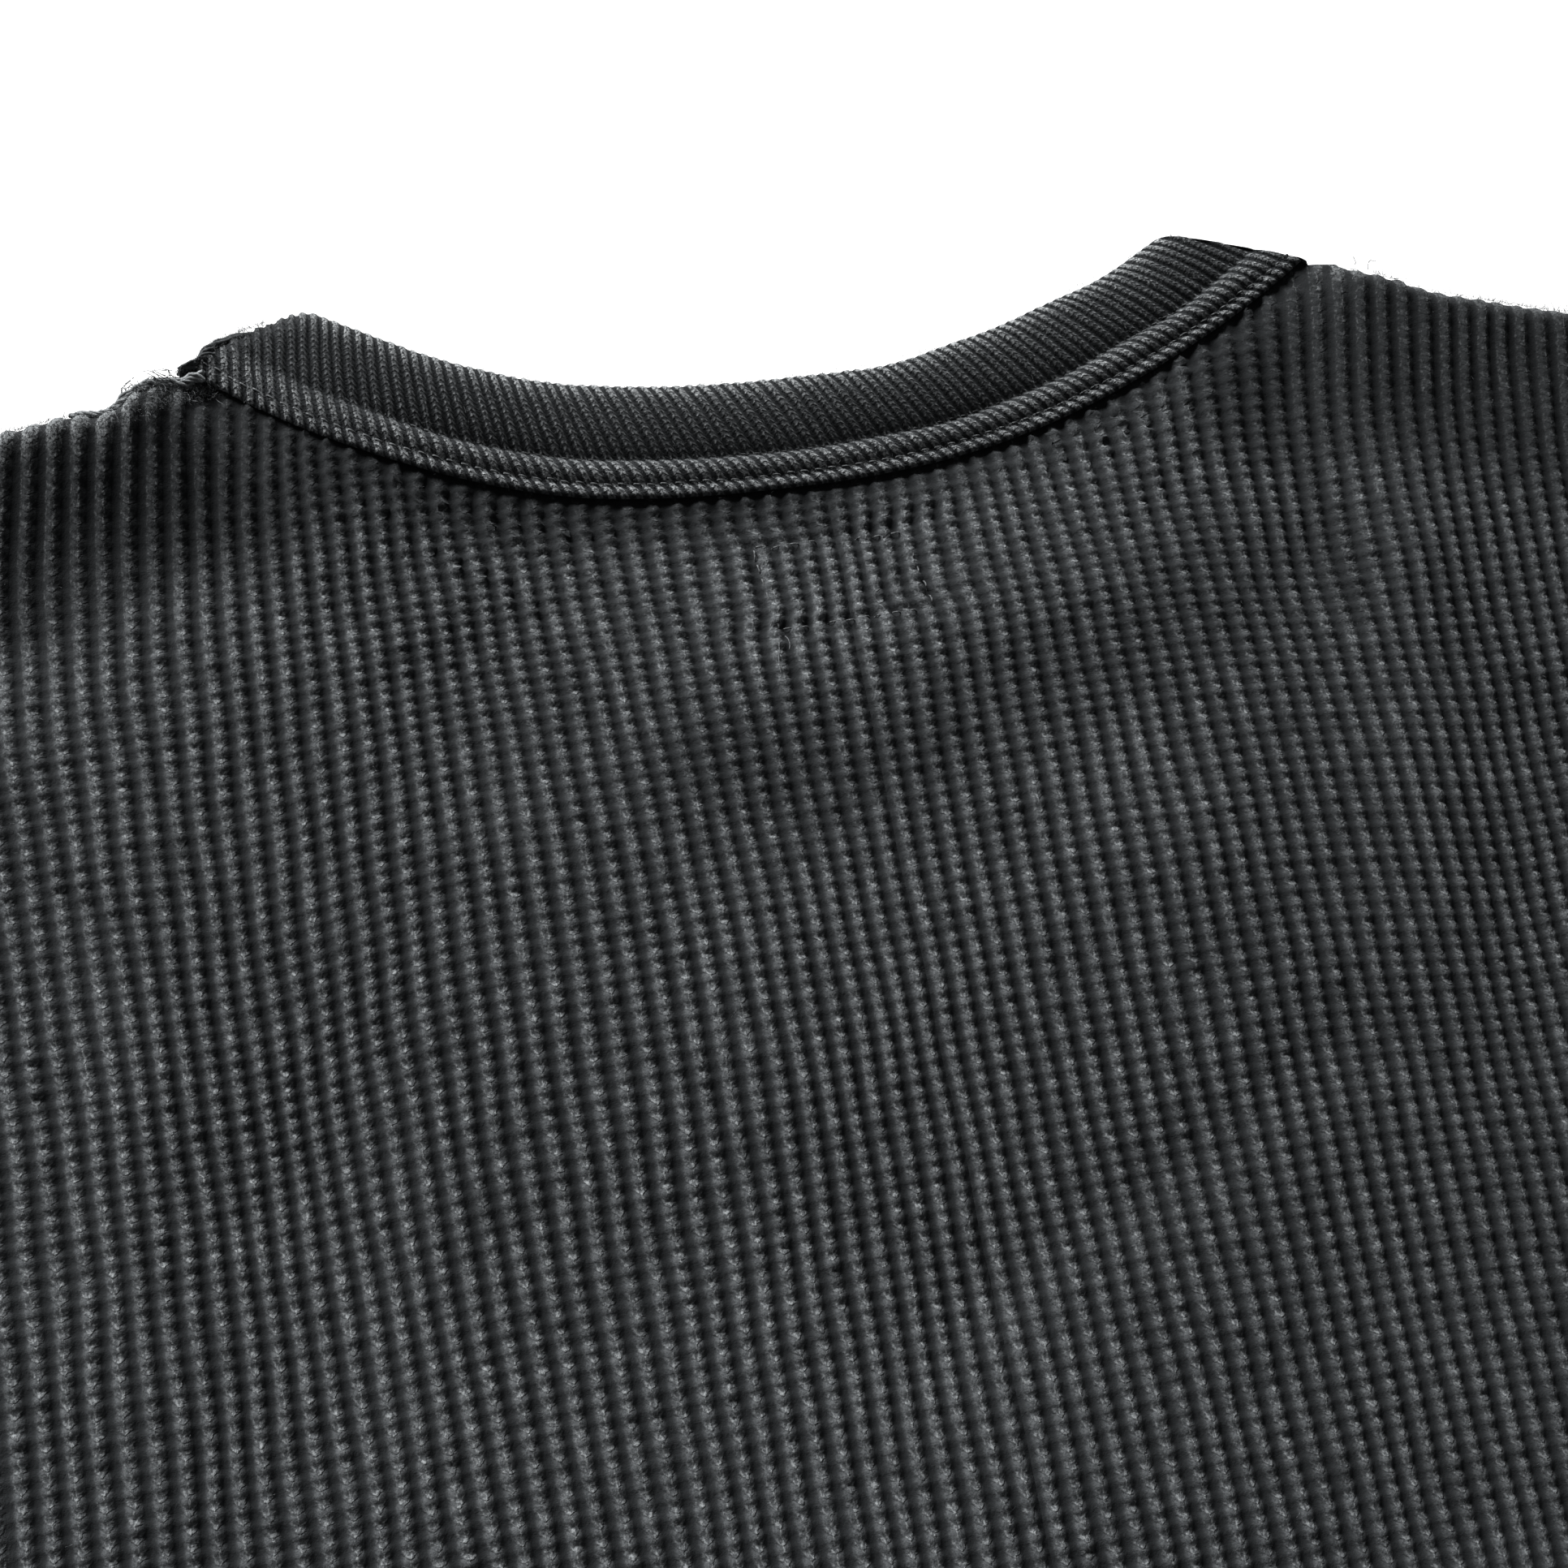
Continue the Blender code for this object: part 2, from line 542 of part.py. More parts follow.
def flat_tube(width, start, end, rows, wall, gap, ribs, rib_height, plain, folds, squeeze):
    """A flattened open tube: a ribbed outer wall over a plain inside, in the sleeve's axes.

    width(along) is the flat width, start(share) and end(share) are where each column across
    begins and ends, and squeeze(along) thins the outer wall where an edge is folded round.
    """
    radius = wall + gap / 2
    fine = np.linspace(0.0, 1.0, 2 * ribs + 1)
    inner_share = np.linspace(0.0, 1.0, plain)

    def spread_over(shares, edge):
        full = width(start(shares))
        place = (edge + (full - 2 * edge) * shares) / full
        along = start(place)[:, None] + (end(place) - start(place))[:, None] * np.array(rows)
        across = edge + (width(along) - 2 * edge) * shares[:, None]
        return along, across

    def raised(along, across):
        return fold_height(folds, along, across) if folds else np.zeros(along.shape)

    along, across = spread_over(fine, 0.0)
    edge = np.minimum(across, width(along) - across)
    lobe = quarter_round(edge, radius * TUBE_TOP_ROUND)
    rib = rib_height * (0.5 - 0.5 * np.cos(2.0 * math.pi * ribs * fine))[:, None]
    crest = 2 * wall + gap + rib + raised(along, across)
    thin = squeeze(along)
    upper = np.stack((along, across, between(radius, crest - thin, lobe)), axis=-1)

    first, last = np.array((0.0,)), np.array((1.0,))
    runs = [
        spread_over(shares, inset)
        for shares, inset in (
            (first, TUBE_EDGE_STEP),
            (first, TUBE_EDGE),
            (inner_share[1:-1], 0.0),
            (last, TUBE_EDGE),
            (last, TUBE_EDGE_STEP),
        )
    ]
    along, across = (np.concatenate([run[k] for run in runs]) for k in (0, 1))
    edge = np.minimum(across, width(along) - across)
    lobe = quarter_round(edge, TUBE_EDGE)
    under = np.stack((along, across, between(radius, 0.0, lobe) + squeeze(along)), axis=-1)

    along, across = spread_over(inner_share, wall)
    lobe = quarter_round(np.minimum(across, width(along) - across) - wall, TUBE_EDGE)
    lift = raised(along, across)
    ceiling = between(radius, wall + gap + lift, lobe)
    floor_z = between(radius, wall, lobe)
    roof = np.stack((along, across, ceiling), axis=-1)
    base = np.stack((along, across, floor_z), axis=-1)[1:-1]

    count = len(rows)
    blocks = (upper, under, roof, base)
    starts = np.cumsum([0] + [b.shape[0] * count for b in blocks])
    up, un, ro, ba = (
        np.arange(b.shape[0] * count).reshape(-1, count) + s for b, s in zip(blocks, starts)
    )
    under_loop = np.concatenate((up[:1], un, up[-1:]))
    base_loop = np.concatenate((ro[:1], ba, ro[-1:]))
    near_edge = np.array((0.0, TUBE_FIRST, TUBE_SECOND))
    under_at = np.concatenate((near_edge, inner_share[1:-1], 1.0 - near_edge[::-1]))
    faces = grid_faces(up) + grid_faces(under_loop[::-1])
    faces += grid_faces(ro[::-1]) + grid_faces(base_loop)
    for j in (0, -1):
        faces += zip_edges(up[:, j], fine, ro[:, j], inner_share)
        faces += zip_edges(under_loop[:, j], under_at, base_loop[:, j], inner_share)
    return solid(np.concatenate([b.reshape(-1, 3) for b in blocks]), faces)


def into_plan(body, side):
    """From the sleeve's axes to the garment's plan, mirrored for the left sleeve."""
    along, across = sleeve_axes()
    points = body["points"]
    plan = SHOULDER_POINT + points[:, :1] * along + points[:, 1:2] * across
    plan = plan * np.array((side, 1.0))
    return solid(np.column_stack((plan, points[:, 2])), body["faces"])


def sleeve(side):
    def start(share):
        return np.interp(share * SLEEVE_WIDTH, ARMHOLE_ACROSS, ARMHOLE_ALONG)

    def end(share):
        return np.full(share.shape, SLEEVE_LENGTH - SEAM_GAP)

    tube = flat_tube(
        width=sleeve_width,
        start=start,
        end=end,
        rows=SLEEVE_ROWS,
        wall=WALL,
        gap=LAYER_GAP,
        ribs=round(SLEEVE_WIDTH / WAFFLE_RIB_PITCH),
        rib_height=WAFFLE_RIB_HEIGHT,
        plain=SLEEVE_PLAIN,
        folds=SLEEVE_FOLDS,
        squeeze=lambda along: np.zeros(along.shape),
    )
    return into_plan(tube, side)


def cuff(side):
    def start(share):
        return np.full(share.shape, SLEEVE_LENGTH)

    def end(share):
        return np.full(share.shape, SLEEVE_LENGTH + CUFF_LENGTH)

    def squeeze(along):
        near = (SLEEVE_LENGTH + CUFF_LENGTH - along) / CUFF_WALL
        return CUFF_WALL * CUFF_PINCH * (1.0 - quarter_round(near, 1.0))

    tube = flat_tube(
        width=cuff_width,
        start=start,
        end=end,
        rows=CUFF_ROWS,
        wall=CUFF_WALL,
        gap=LAYER_GAP,
        ribs=round(CUFF_WIDTH / RIB_PITCH),
        rib_height=RIB_HEIGHT,
        plain=CUFF_PLAIN,
        folds=(),
        squeeze=squeeze,
    )
    return into_plan(tube, side)


# ---------------------------------------------------------------- collar
def turn_stations():
    """Where the two high shoulder points lie along the ring."""
    return RIGHT_LENGTH - NECK[1]["hps"], RIGHT_LENGTH + NECK[-1]["hps"]


def plain_stations():
    """Wide steps along the ring, and short ones where it turns over the shoulders."""
    right, left = turn_stations()
    before, after = TURN_ZONE
    zones = (
        (0.0, right - after, PLAIN_STEP),
        (right - after, right + before, TURN_STEP),
        (right + before, left - before, PLAIN_STEP),
        (left - before, left + after, TURN_STEP),
        (left + after, RING_LENGTH, PLAIN_STEP),
    )
    runs = [np.linspace(a, b, max(2, round((b - a) / step) + 1))[:-1] for a, b, step in zones]
    return np.concatenate(runs)


def rib_stations():
    """Two steps for each rib over the back and both turns, and the wide steps elsewhere."""
    right, left = turn_stations()
    first, last = right - TURN_ZONE[0], left + TURN_ZONE[0]
    ribs = round((last - first) / RIB_PITCH)
    ribbed = np.linspace(first, last, 2 * ribs + 1)
    wide = plain_stations()
    kept = (wide < first - RIB_PITCH) | (wide > last + RIB_PITCH)
    return np.sort(np.concatenate((wide[kept], ribbed))), (first, last, ribs)


def collar_ring():
    fine, (first, last, ribs) = rib_stations()
    coarse = plain_stations()
    inside_ribs = smooth((fine - first) / RIB_FADE) * smooth((last - fine) / RIB_FADE)
    wave = 0.5 - 0.5 * np.cos(2.0 * math.pi * ribs * (fine - first) / (last - first))
    right, left = turn_stations()
    lean = smooth((fine - right) / LEAN_FADE + 1.0) * smooth((left - fine) / LEAN_FADE + 1.0)
    outside = [
        ring_points(fine + RIB_LEAN * lean * up, up, out + RIB_HEIGHT * rib * inside_ribs * wave)
        for up, out, rib in COLLAR_OUTSIDE
    ]
    inside = [ring_points(coarse, up, np.array(out)) for up, out in COLLAR_INSIDE]
    top = np.arange(len(outside) * len(fine)).reshape(len(outside), -1)
    low = np.arange(len(inside) * len(coarse)).reshape(len(inside), -1) + top.size
    faces = grid_faces(np.column_stack((top, top[:, :1])))
    faces += grid_faces(np.column_stack((low, low[:, :1])))
    fine_at = np.append(fine, RING_LENGTH + fine[0])
    coarse_at = np.append(coarse, RING_LENGTH + coarse[0])
    for a, b in ((-1, 0), (0, -1)):
        faces += zip_edges(
            np.append(top[a], top[a, 0]), fine_at, np.append(low[b], low[b, 0]), coarse_at
        )
    return solid(np.concatenate(outside + inside), faces)


# ================================================================ objects
def cloth_material(name, colour):
    material = bpy.data.materials.new(name)
    material.use_nodes = True
    shader = material.node_tree.nodes["Principled BSDF"]
    shader.inputs["Base Color"].default_value = (*colour, 1.0)
    shader.inputs["Roughness"].default_value = CLOTH_ROUGHNESS
    shader.inputs["Metallic"].default_value = 0.0
    material.diffuse_color = (*colour, 1.0)
    return material


def add_piece(name, body, colour):
    """One closed solid as one object, its faces turned outwards."""
    mesh = bpy.data.meshes.new(name)
    mesh.from_pydata(body["points"].tolist(), [], body["faces"])
    work = bmesh.new()
    work.from_mesh(mesh)
    bmesh.ops.recalc_face_normals(work, faces=work.faces)
    bmesh.ops.triangulate(work, faces=work.faces)
    work.to_mesh(mesh)
    work.free()
    mesh.shade_smooth()
    mesh.set_sharp_from_angle(angle=SHARP_ANGLE)
    piece = bpy.data.objects.new(name, mesh)
    piece.data.materials.append(cloth_material(name + "_cloth", colour))
    bpy.context.collection.objects.link(piece)
    return piece


def main():
    for old in list(bpy.data.objects):
        bpy.data.objects.remove(old, do_unlink=True)
    pieces = {
        "back": (back_panel(), CHARCOAL),
        "front": (front_panel(), CHARCOAL),
        "sleeve_left": (sleeve(-1), CHARCOAL),
        "sleeve_right": (sleeve(1), CHARCOAL),
        "collar": (collar_ring(), CHARCOAL_RIB),
        "cuff_left": (cuff(-1), CHARCOAL_RIB),
        "cuff_right": (cuff(1), CHARCOAL_RIB),
    }
    heights = np.concatenate([body["points"][:, 1] for body, _ in pieces.values()])
    middle = (heights.min() + heights.max()) / 2.0
    for name, (body, colour) in pieces.items():
        body["points"] = body["points"] - np.array((0.0, middle, 0.0))
        add_piece(name, body, colour)
    print("high shoulder line lies at y =", round(-middle, 5))


main()
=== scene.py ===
# %% [markdown]
# # A waffle-knit thermal top, laid flat with its back up
#
# This lesson dresses a thermal top. The frame holds plain solids of its pieces at their real size.
# Each cell below makes one piece of cloth, one kind of sewing or one finish, and says why it is
# made that way. Sizes are in metres, and the plan is the garment's own: x runs along the
# shoulders, y to the neck, z up out of the table.

import math

import bmesh
import bpy
import numpy as np
from mathutils import Matrix, Vector


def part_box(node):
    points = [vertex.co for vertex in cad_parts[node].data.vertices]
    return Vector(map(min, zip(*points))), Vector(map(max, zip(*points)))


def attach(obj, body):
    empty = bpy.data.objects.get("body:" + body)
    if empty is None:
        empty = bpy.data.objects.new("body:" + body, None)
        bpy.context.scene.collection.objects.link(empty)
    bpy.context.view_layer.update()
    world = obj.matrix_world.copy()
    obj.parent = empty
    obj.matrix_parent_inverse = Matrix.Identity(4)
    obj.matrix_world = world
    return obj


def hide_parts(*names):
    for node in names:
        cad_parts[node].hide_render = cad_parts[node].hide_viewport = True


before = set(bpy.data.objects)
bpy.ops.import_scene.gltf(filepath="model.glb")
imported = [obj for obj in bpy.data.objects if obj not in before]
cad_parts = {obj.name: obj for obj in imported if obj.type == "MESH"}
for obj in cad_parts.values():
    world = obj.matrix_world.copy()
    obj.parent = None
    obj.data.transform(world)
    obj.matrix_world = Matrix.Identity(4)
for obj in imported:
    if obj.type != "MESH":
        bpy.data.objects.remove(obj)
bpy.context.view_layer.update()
print("frame:", ", ".join(sorted(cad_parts)))

# %% [markdown]
# ## The sizes of the pattern
#
# A maker cuts from a pattern, so the cloth is worked out from the pattern's sizes and not read
# off the solids. They are the solids' own sizes, apart from a millimetre or so at the neck, where
# the sewing was fitted closer. The cloth then lies on their form, and the frame only says where
# the top lies. The length of the body is measured from the high shoulder points, which gives the
# plan its origin.

# %% Sizes of the pattern
WALL = 0.0016
WAFFLE_PITCH = 0.00367  # from rib to rib
BEAD_PITCH = 0.00242  # from bead to bead along a rib
TRIM_PITCH = 0.0022  # from rib to rib of the 1x1 trim, along the neck seam
LAYER_GAP = 0.00035
SEAM_GAP = 0.0004

NECK_HALF_WIDTH = 0.0955
BACK_NECK_DROP = 0.0304
FRONT_NECK_DROP = 0.095
NECK_POWER = {-1: 2.65, 1: 2.12}  # how square the back neck curve is on the left and the right
SHOULDER_SLOPE = math.radians(17)
SHOULDER_HALF_WIDTH = 0.228
CHEST_HALF_WIDTH = 0.270
ARMHOLE_DEPTH = 0.2045
ARMHOLE_POWER = 3.2
ARMHOLE_WIDTH = CHEST_HALF_WIDTH - SHOULDER_HALF_WIDTH
BODY_LENGTH = 0.690
SLEEVE_SLOPE = math.radians(30)
SLEEVE_LENGTH = 0.575
SLEEVE_END_WIDTH = 0.095
CUFF_LENGTH = 0.065
CUFF_WIDTH, CUFF_END_WIDTH, CUFF_WALL = 0.091, 0.088, 0.0022

ORIGIN_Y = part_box("back")[0].y + BODY_LENGTH
print(f"the high shoulder points lie at y = {ORIGIN_Y:.4f}")

# %% [markdown]
# ## Small helpers
#
# Cloth has no hard steps: one height runs over into the next, and a fold dies out at both ends.
# Four shapes are enough for all of that: a soft step, a bell, a rounded edge and uneven waves. A
# top is also never quite the same on its left and right, so many sizes are kept as a pair.

# %% Small helpers
def smooth(value):
    """0 to 1 with soft ends."""
    t = np.clip(value, 0.0, 1.0)
    return t * t * (3.0 - 2.0 * t)


def between(low, high, share):
    return low + (high - low) * share


def by_side(x, pair):
    """The left or the right value of a pair, by the side on which each point lies."""
    return np.where(x < 0, pair[-1], pair[1])


def bell(distance, width):
    """1 at no distance, and next to nothing from two widths on."""
    return np.exp(-((distance / width) ** 2))


def unit(vectors):
    """Each vector at a length of 1."""
    return vectors / np.linalg.norm(vectors, axis=-1, keepdims=True)


def quarter_round(distance, radius):
    """Height share of a rounded edge, 0 at the edge and 1 from one radius inwards."""
    return np.sqrt(1.0 - (1.0 - np.clip(distance / radius, 0.0, 1.0)) ** 2)


def waves(x, y, seed, longest, count=6):
    """Soft uneven ups and downs, about -1 to 1, from a few crossing sine waves."""
    draw = np.random.default_rng(seed)
    total = np.zeros(np.broadcast(x, y).shape)
    for _ in range(count):
        turn, start, share = draw.uniform(0.0, 2.0 * math.pi, 2).tolist() + [draw.uniform(0.45, 1.0)]
        step = 2.0 * math.pi / (longest * share)
        total = total + np.sin(step * (x * math.cos(turn) + y * math.sin(turn)) + start)
    return total / math.sqrt(2.0 * count)


print(f"a soft step of 1/4 gives {smooth(0.25):.3f}, a bell at one width {bell(1.0, 1.0):.3f}")

# %% [markdown]
# ## The neck seam
#
# The collar is one ring sewn round the whole neck. Where the top lies flat, the ring folds over
# at both high shoulder points, so half of it lies on the back and half on the front. It could be
# a curve in space set point by point. It is easier to unroll the cloth first: the seam is drawn
# on flat cloth, as the cutter draws it, and one function then lays the cloth over the fold.

# %% The neck seam, unrolled, and how it lies
TURN_RADIUS = 0.0025
FRONT_NECK_MIDDLE = 0.0023
BACK_NECK_LOW = 0.0036
BACK_NECK_HIGH = {-1: FRONT_NECK_MIDDLE + 2 * TURN_RADIUS, 1: 0.0064}
DIP_FROM, DIP_TO = 0.074, 0.030
HALF_TURN = math.pi * TURN_RADIUS
CORNER = {-1: np.array((-NECK_HALF_WIDTH, 0.0)), 1: np.array((0.0946, -0.0006))}
# how far the fold over each shoulder stands out at the seam and farther up, 1 for a round one
TURN_FLAT = {-1: (0.15, 0.75), 1: (0.0, 0.04)}
TURN_FREE = 0.0070
BACK_STEPS, TURN_STEPS, FRONT_STEPS = 160, 40, 200  # points along each part of the seam


def shoulder_axes(side):
    """Along the shoulder outwards, and square to it towards the neck."""
    c, s = math.cos(SHOULDER_SLOPE), math.sin(SHOULDER_SLOPE)
    return np.array((side * c, -s)), np.array((side * s, c))


def half_neck(side):
    """The seam from back centre to front centre: u along the shoulder, v across its fold."""
    along, across = shoulder_axes(side)
    corner = CORNER[side]
    t = np.linspace(0.0, 1.0, BACK_STEPS)
    drop = between(-BACK_NECK_DROP, corner[1], t ** NECK_POWER[side])
    back = np.stack((corner[0] * t, drop), axis=1) - corner
    back_uv = np.stack((back @ along, back @ across), axis=1)
    start = unit(back_uv[-1] - back_uv[-2])
    end = np.array((math.sin(SHOULDER_SLOPE), math.cos(SHOULDER_SLOPE)))
    mean = start + end
    landing = np.array((HALF_TURN * mean[0] / mean[1], HALF_TURN))
    pull = np.linalg.norm(landing)
    q = np.linspace(0.0, 1.0, TURN_STEPS)[1:, None]
    turn_uv = (
        (q**3 - 2 * q**2 + q) * pull * start
        + (3 * q**2 - 2 * q**3) * landing
        + (q**3 - q**2) * pull * end
    )
    foot = corner + landing[0] * along
    angle = np.linspace(0.0, math.pi / 2, FRONT_STEPS)[1:]
    low = foot[1] - (FRONT_NECK_DROP + foot[1]) * np.sin(angle)
    front = np.stack((foot[0] * np.cos(angle), low), axis=1) - corner
    front_uv = np.stack((front @ along, HALF_TURN - front @ across), axis=1)
    points = np.concatenate((back_uv, turn_uv, front_uv))
    lengths = np.append(0.0, np.cumsum(np.linalg.norm(np.diff(points, axis=0), axis=1)))
    slope = unit(np.gradient(points, lengths, axis=0))
    return {"points": points, "lengths": lengths, "slope": slope, "hps": lengths[len(t) - 1]}


NECK = {side: half_neck(side) for side in (-1, 1)}
RIGHT_LENGTH = NECK[1]["lengths"][-1]
RING_LENGTH = RIGHT_LENGTH + NECK[-1]["lengths"][-1]
TURNS = (RIGHT_LENGTH - NECK[1]["hps"], RIGHT_LENGTH + NECK[-1]["hps"])
print(f"neck ring {RING_LENGTH * 1000:.0f} mm, turning at {TURNS[0]:.3f} and {TURNS[1]:.3f}")

# %% Laying the collar over the fold
def back_neck_height(x):
    """Middle height of the back half of the collar."""
    lift = smooth((np.abs(x) - DIP_TO) / (DIP_FROM - DIP_TO))
    return between(BACK_NECK_LOW, by_side(x, BACK_NECK_HIGH), lift)


def over_the_shoulder(side, u, v, out, flat):
    """Places of unrolled points, moved out from the collar's middle."""
    along, across = shoulder_axes(side)
    angle = np.clip(v / TURN_RADIUS, 0.0, math.pi)
    reach = np.where(v < 0, v, np.where(v > HALF_TURN, HALF_TURN - v, 0.0))
    reach = reach + flat * (TURN_RADIUS + out) * np.sin(angle)
    plan = CORNER[side] + u[..., None] * along + reach[..., None] * across
    radius = (BACK_NECK_HIGH[side] - FRONT_NECK_MIDDLE) / 2
    turning = FRONT_NECK_MIDDLE + radius + (radius + out) * np.cos(angle)
    height = np.where(v < 0, back_neck_height(plan[..., 0]) + out, turning)
    return np.concatenate((plan, np.maximum(height, 0.0)[..., None]), axis=-1)


def ring_points(stations, up, out):
    """Points along the collar. Stations run from front centre up the right side and round."""
    stations, up, out = np.broadcast_arrays(np.mod(stations, RING_LENGTH), up, out)
    points = np.zeros((*stations.shape, 3))
    for side in (1, -1):
        half = NECK[side]
        mine = stations <= RIGHT_LENGTH if side == 1 else stations > RIGHT_LENGTH
        length = side * (RIGHT_LENGTH - stations[mine])
        u, v = (np.interp(length, half["lengths"], half["points"][:, k]) for k in (0, 1))
        tu, tv = (np.interp(length, half["lengths"], half["slope"][:, k]) for k in (0, 1))
        flat = between(*TURN_FLAT[side], smooth(up[mine] / TURN_FREE))
        points[mine] = over_the_shoulder(side, u - up[mine] * tv, v + up[mine] * tu, out[mine], flat)
    return points


def plan_of_seam(side, up, of_back):
    """Plan of the neck seam on one side, moved up into the collar."""
    half = NECK[side]
    u, v = (half["points"] + up * half["slope"][:, ::-1] * (-1, 1)).T
    along, across = shoulder_axes(side)
    keep = half["lengths"] <= half["hps"] if of_back else half["points"][:, 1] >= HALF_TURN
    v = v if of_back else HALF_TURN - v
    return CORNER[side] + u[keep, None] * along + v[keep, None] * across


BACK_SEAM = np.concatenate((plan_of_seam(-1, 0, True)[::-1], plan_of_seam(1, 0, True)))[::6]
FRONT_SEAM = np.concatenate((plan_of_seam(-1, 0, False), plan_of_seam(1, 0, False)[::-1]))
print(f"neck seam: {len(BACK_SEAM)} points on the back, {len(FRONT_SEAM)} on the front")

# %% [markdown]
# ## The outline of the body and the lie of the back
#
# The back panel lies on the front panel and, at the neck, on the front half of the collar, which
# lifts it in a low ring. It comes down again to the back half of the collar, and along the
# shoulders and sides it rolls over the edge to the table. All of that is one height over the
# plan, so every mesh that follows, coarse or fine, can ask for it and they fit each other.
#
# Soft folds are troughs and ridges on that height. Each has its own row with its two ends, its
# width and its height, as uneven as folds are on a top that was shaken out and laid down.

# %% Outline
PANEL_IN_SLOT = 0.0054
SHOULDER_EDGE, NECK_EDGE, FRONT_EDGE = 0.0002, -0.0012, -0.0022
SHOULDER_LUMPS = (
    # x, width, height of places where the seam inside pushes the shoulder edge out
    (-0.134, 0.016, 0.0028),
    (-0.1085, 0.0042, -0.0016),
    (-0.0997, 0.0044, 0.0014),
    (0.101, 0.006, -0.0002),
    (0.117, 0.009, -0.0014),
    (0.131, 0.009, -0.0008),
)
ROLL_FROM, ROLL_OVER = 0.0030, 0.0080
PAST_SEAM = 0.020  # the neck's line runs on this far past the last point of the seam
EDGE_ROLL, EDGE_TOP, EDGE_UNDER = 0.0043, 0.0009, 0.0005
SHOULDER_POINT = np.array(
    (
        SHOULDER_HALF_WIDTH,
        -(SHOULDER_HALF_WIDTH - NECK_HALF_WIDTH) * math.tan(SHOULDER_SLOPE)
        + SHOULDER_EDGE / math.cos(SHOULDER_SLOPE),
    )
)


def shoulder_line(x):
    """The line along both shoulders, from the high shoulder points out and down."""
    return -(np.abs(x) - NECK_HALF_WIDTH) * math.tan(SHOULDER_SLOPE)


def rolled(x):
    """0 inside the collar, 1 where the shoulder edge rolls over the front."""
    return smooth((np.abs(x) - NECK_HALF_WIDTH - ROLL_FROM) / ROLL_OVER)


def neck_line(x, of_back):
    """Upper edge of a panel in the neck, as far as it reaches, and very high elsewhere."""
    line = np.full(np.shape(x), np.inf)
    for side in (-1, 1):
        seam = plan_of_seam(side, PANEL_IN_SLOT, of_back)
        if of_back:
            seam = np.concatenate((seam, [seam[-1] + PAST_SEAM * unit(seam[-1] - seam[-2])]))
        order = np.argsort(np.abs(seam[:, 0]))
        reach = np.abs(seam[order, 0])
        mine = ((np.sign(x) == side) | (x == 0)) & (np.abs(x) <= reach[-1])
        line = np.where(mine, np.interp(np.abs(x), reach, seam[order, 1]), line)
    return line


def upper_edge(x, of_back):
    """Where a panel ends at the neck, the shoulders and the armholes."""
    edge = between(NECK_EDGE, SHOULDER_EDGE, rolled(x)) if of_back else FRONT_EDGE
    for place, width, height in SHOULDER_LUMPS if of_back else ():
        edge = edge + height * bell(x - place, width)
    top = np.minimum(edge / math.cos(SHOULDER_SLOPE) + shoulder_line(x), neck_line(x, of_back))
    share = np.clip((np.abs(x) - SHOULDER_HALF_WIDTH) / ARMHOLE_WIDTH, 0.0, 1.0)
    armhole = SHOULDER_POINT[1] - ARMHOLE_DEPTH * share ** (1.0 / ARMHOLE_POWER)
    return np.where(np.abs(x) > SHOULDER_HALF_WIDTH, np.minimum(armhole, top), top)


print(f"back neck drop {-upper_edge(np.zeros(1), True)[0]:.4f} to the edge in the collar")

# %% Folds of the back
BODY_FOLDS = (
    # x0, y0, x1, y1, width, height
    (0.101, -0.045, 0.084, -0.130, 0.011, 0.0016),
    (-0.132, -0.050, -0.104, -0.120, 0.014, 0.0012),
    (0.072, -0.130, -0.030, -0.210, 0.022, 0.0012),
    (0.222, -0.130, 0.180, -0.300, 0.016, 0.0026),
    (-0.224, -0.120, -0.176, -0.290, 0.018, 0.0024),
    (-0.240, -0.215, -0.150, -0.430, 0.022, 0.0028),
    (0.245, -0.240, 0.190, -0.470, 0.020, 0.0027),
    (-0.060, -0.250, -0.085, -0.520, 0.026, 0.0018),
    (0.045, -0.300, 0.070, -0.600, 0.024, 0.0020),
    (-0.165, -0.420, -0.190, -0.690, 0.022, 0.0022),
    (0.150, -0.480, 0.165, -0.690, 0.020, 0.0021),
    (-0.020, -0.560, -0.010, -0.690, 0.026, 0.0018),
)
SOFT_FOLDS = (
    # x0, y0, x1, y1, width, height: finer ones, where the knit ripples
    (0.074, -0.132, -0.012, -0.167, 0.0070, -0.0006),
    (0.066, -0.149, -0.016, -0.184, 0.0200, -0.0005),
    (-0.034, -0.066, 0.068, -0.050, 0.0140, 0.0007),
    (0.088, -0.002, 0.081, -0.062, 0.009, -0.0012),
    (0.101, -0.050, 0.110, -0.084, 0.010, 0.0005),
    (-0.066, -0.050, -0.060, -0.078, 0.010, -0.0006),
    (-0.112, -0.060, -0.122, -0.170, 0.010, 0.0008),
    (-0.070, -0.100, -0.086, -0.190, 0.012, 0.0007),
    (-0.020, -0.100, -0.034, -0.200, 0.014, 0.0006),
    (0.046, -0.090, 0.052, -0.170, 0.010, 0.0006),
    (-0.200, -0.320, -0.060, -0.390, 0.016, 0.0016),
    (0.060, -0.420, 0.210, -0.360, 0.014, 0.0015),
    (-0.130, -0.560, 0.020, -0.600, 0.015, 0.0013),
    (0.200, -0.560, 0.110, -0.640, 0.013, 0.0014),
)
WALL_REST = WALL + LAYER_GAP
SLOT_PLAY = 0.0003  # the panel lies against the outer wall of the collar's slot
OVER_COLLAR, IN_NECK_HOLE, COLLAR_REACH = 0.0052, 0.0034, 0.030
OUTER_PLATEAU, OUTER_FALL, INNER_FOOT, INNER_RISE = 1.04, 0.70, 0.20, 0.80
NECK_SINK, SINK_FROM, SINK_OVER = {-1: 0.0002, 1: -0.0007}, -0.020, 0.050  # by the collar
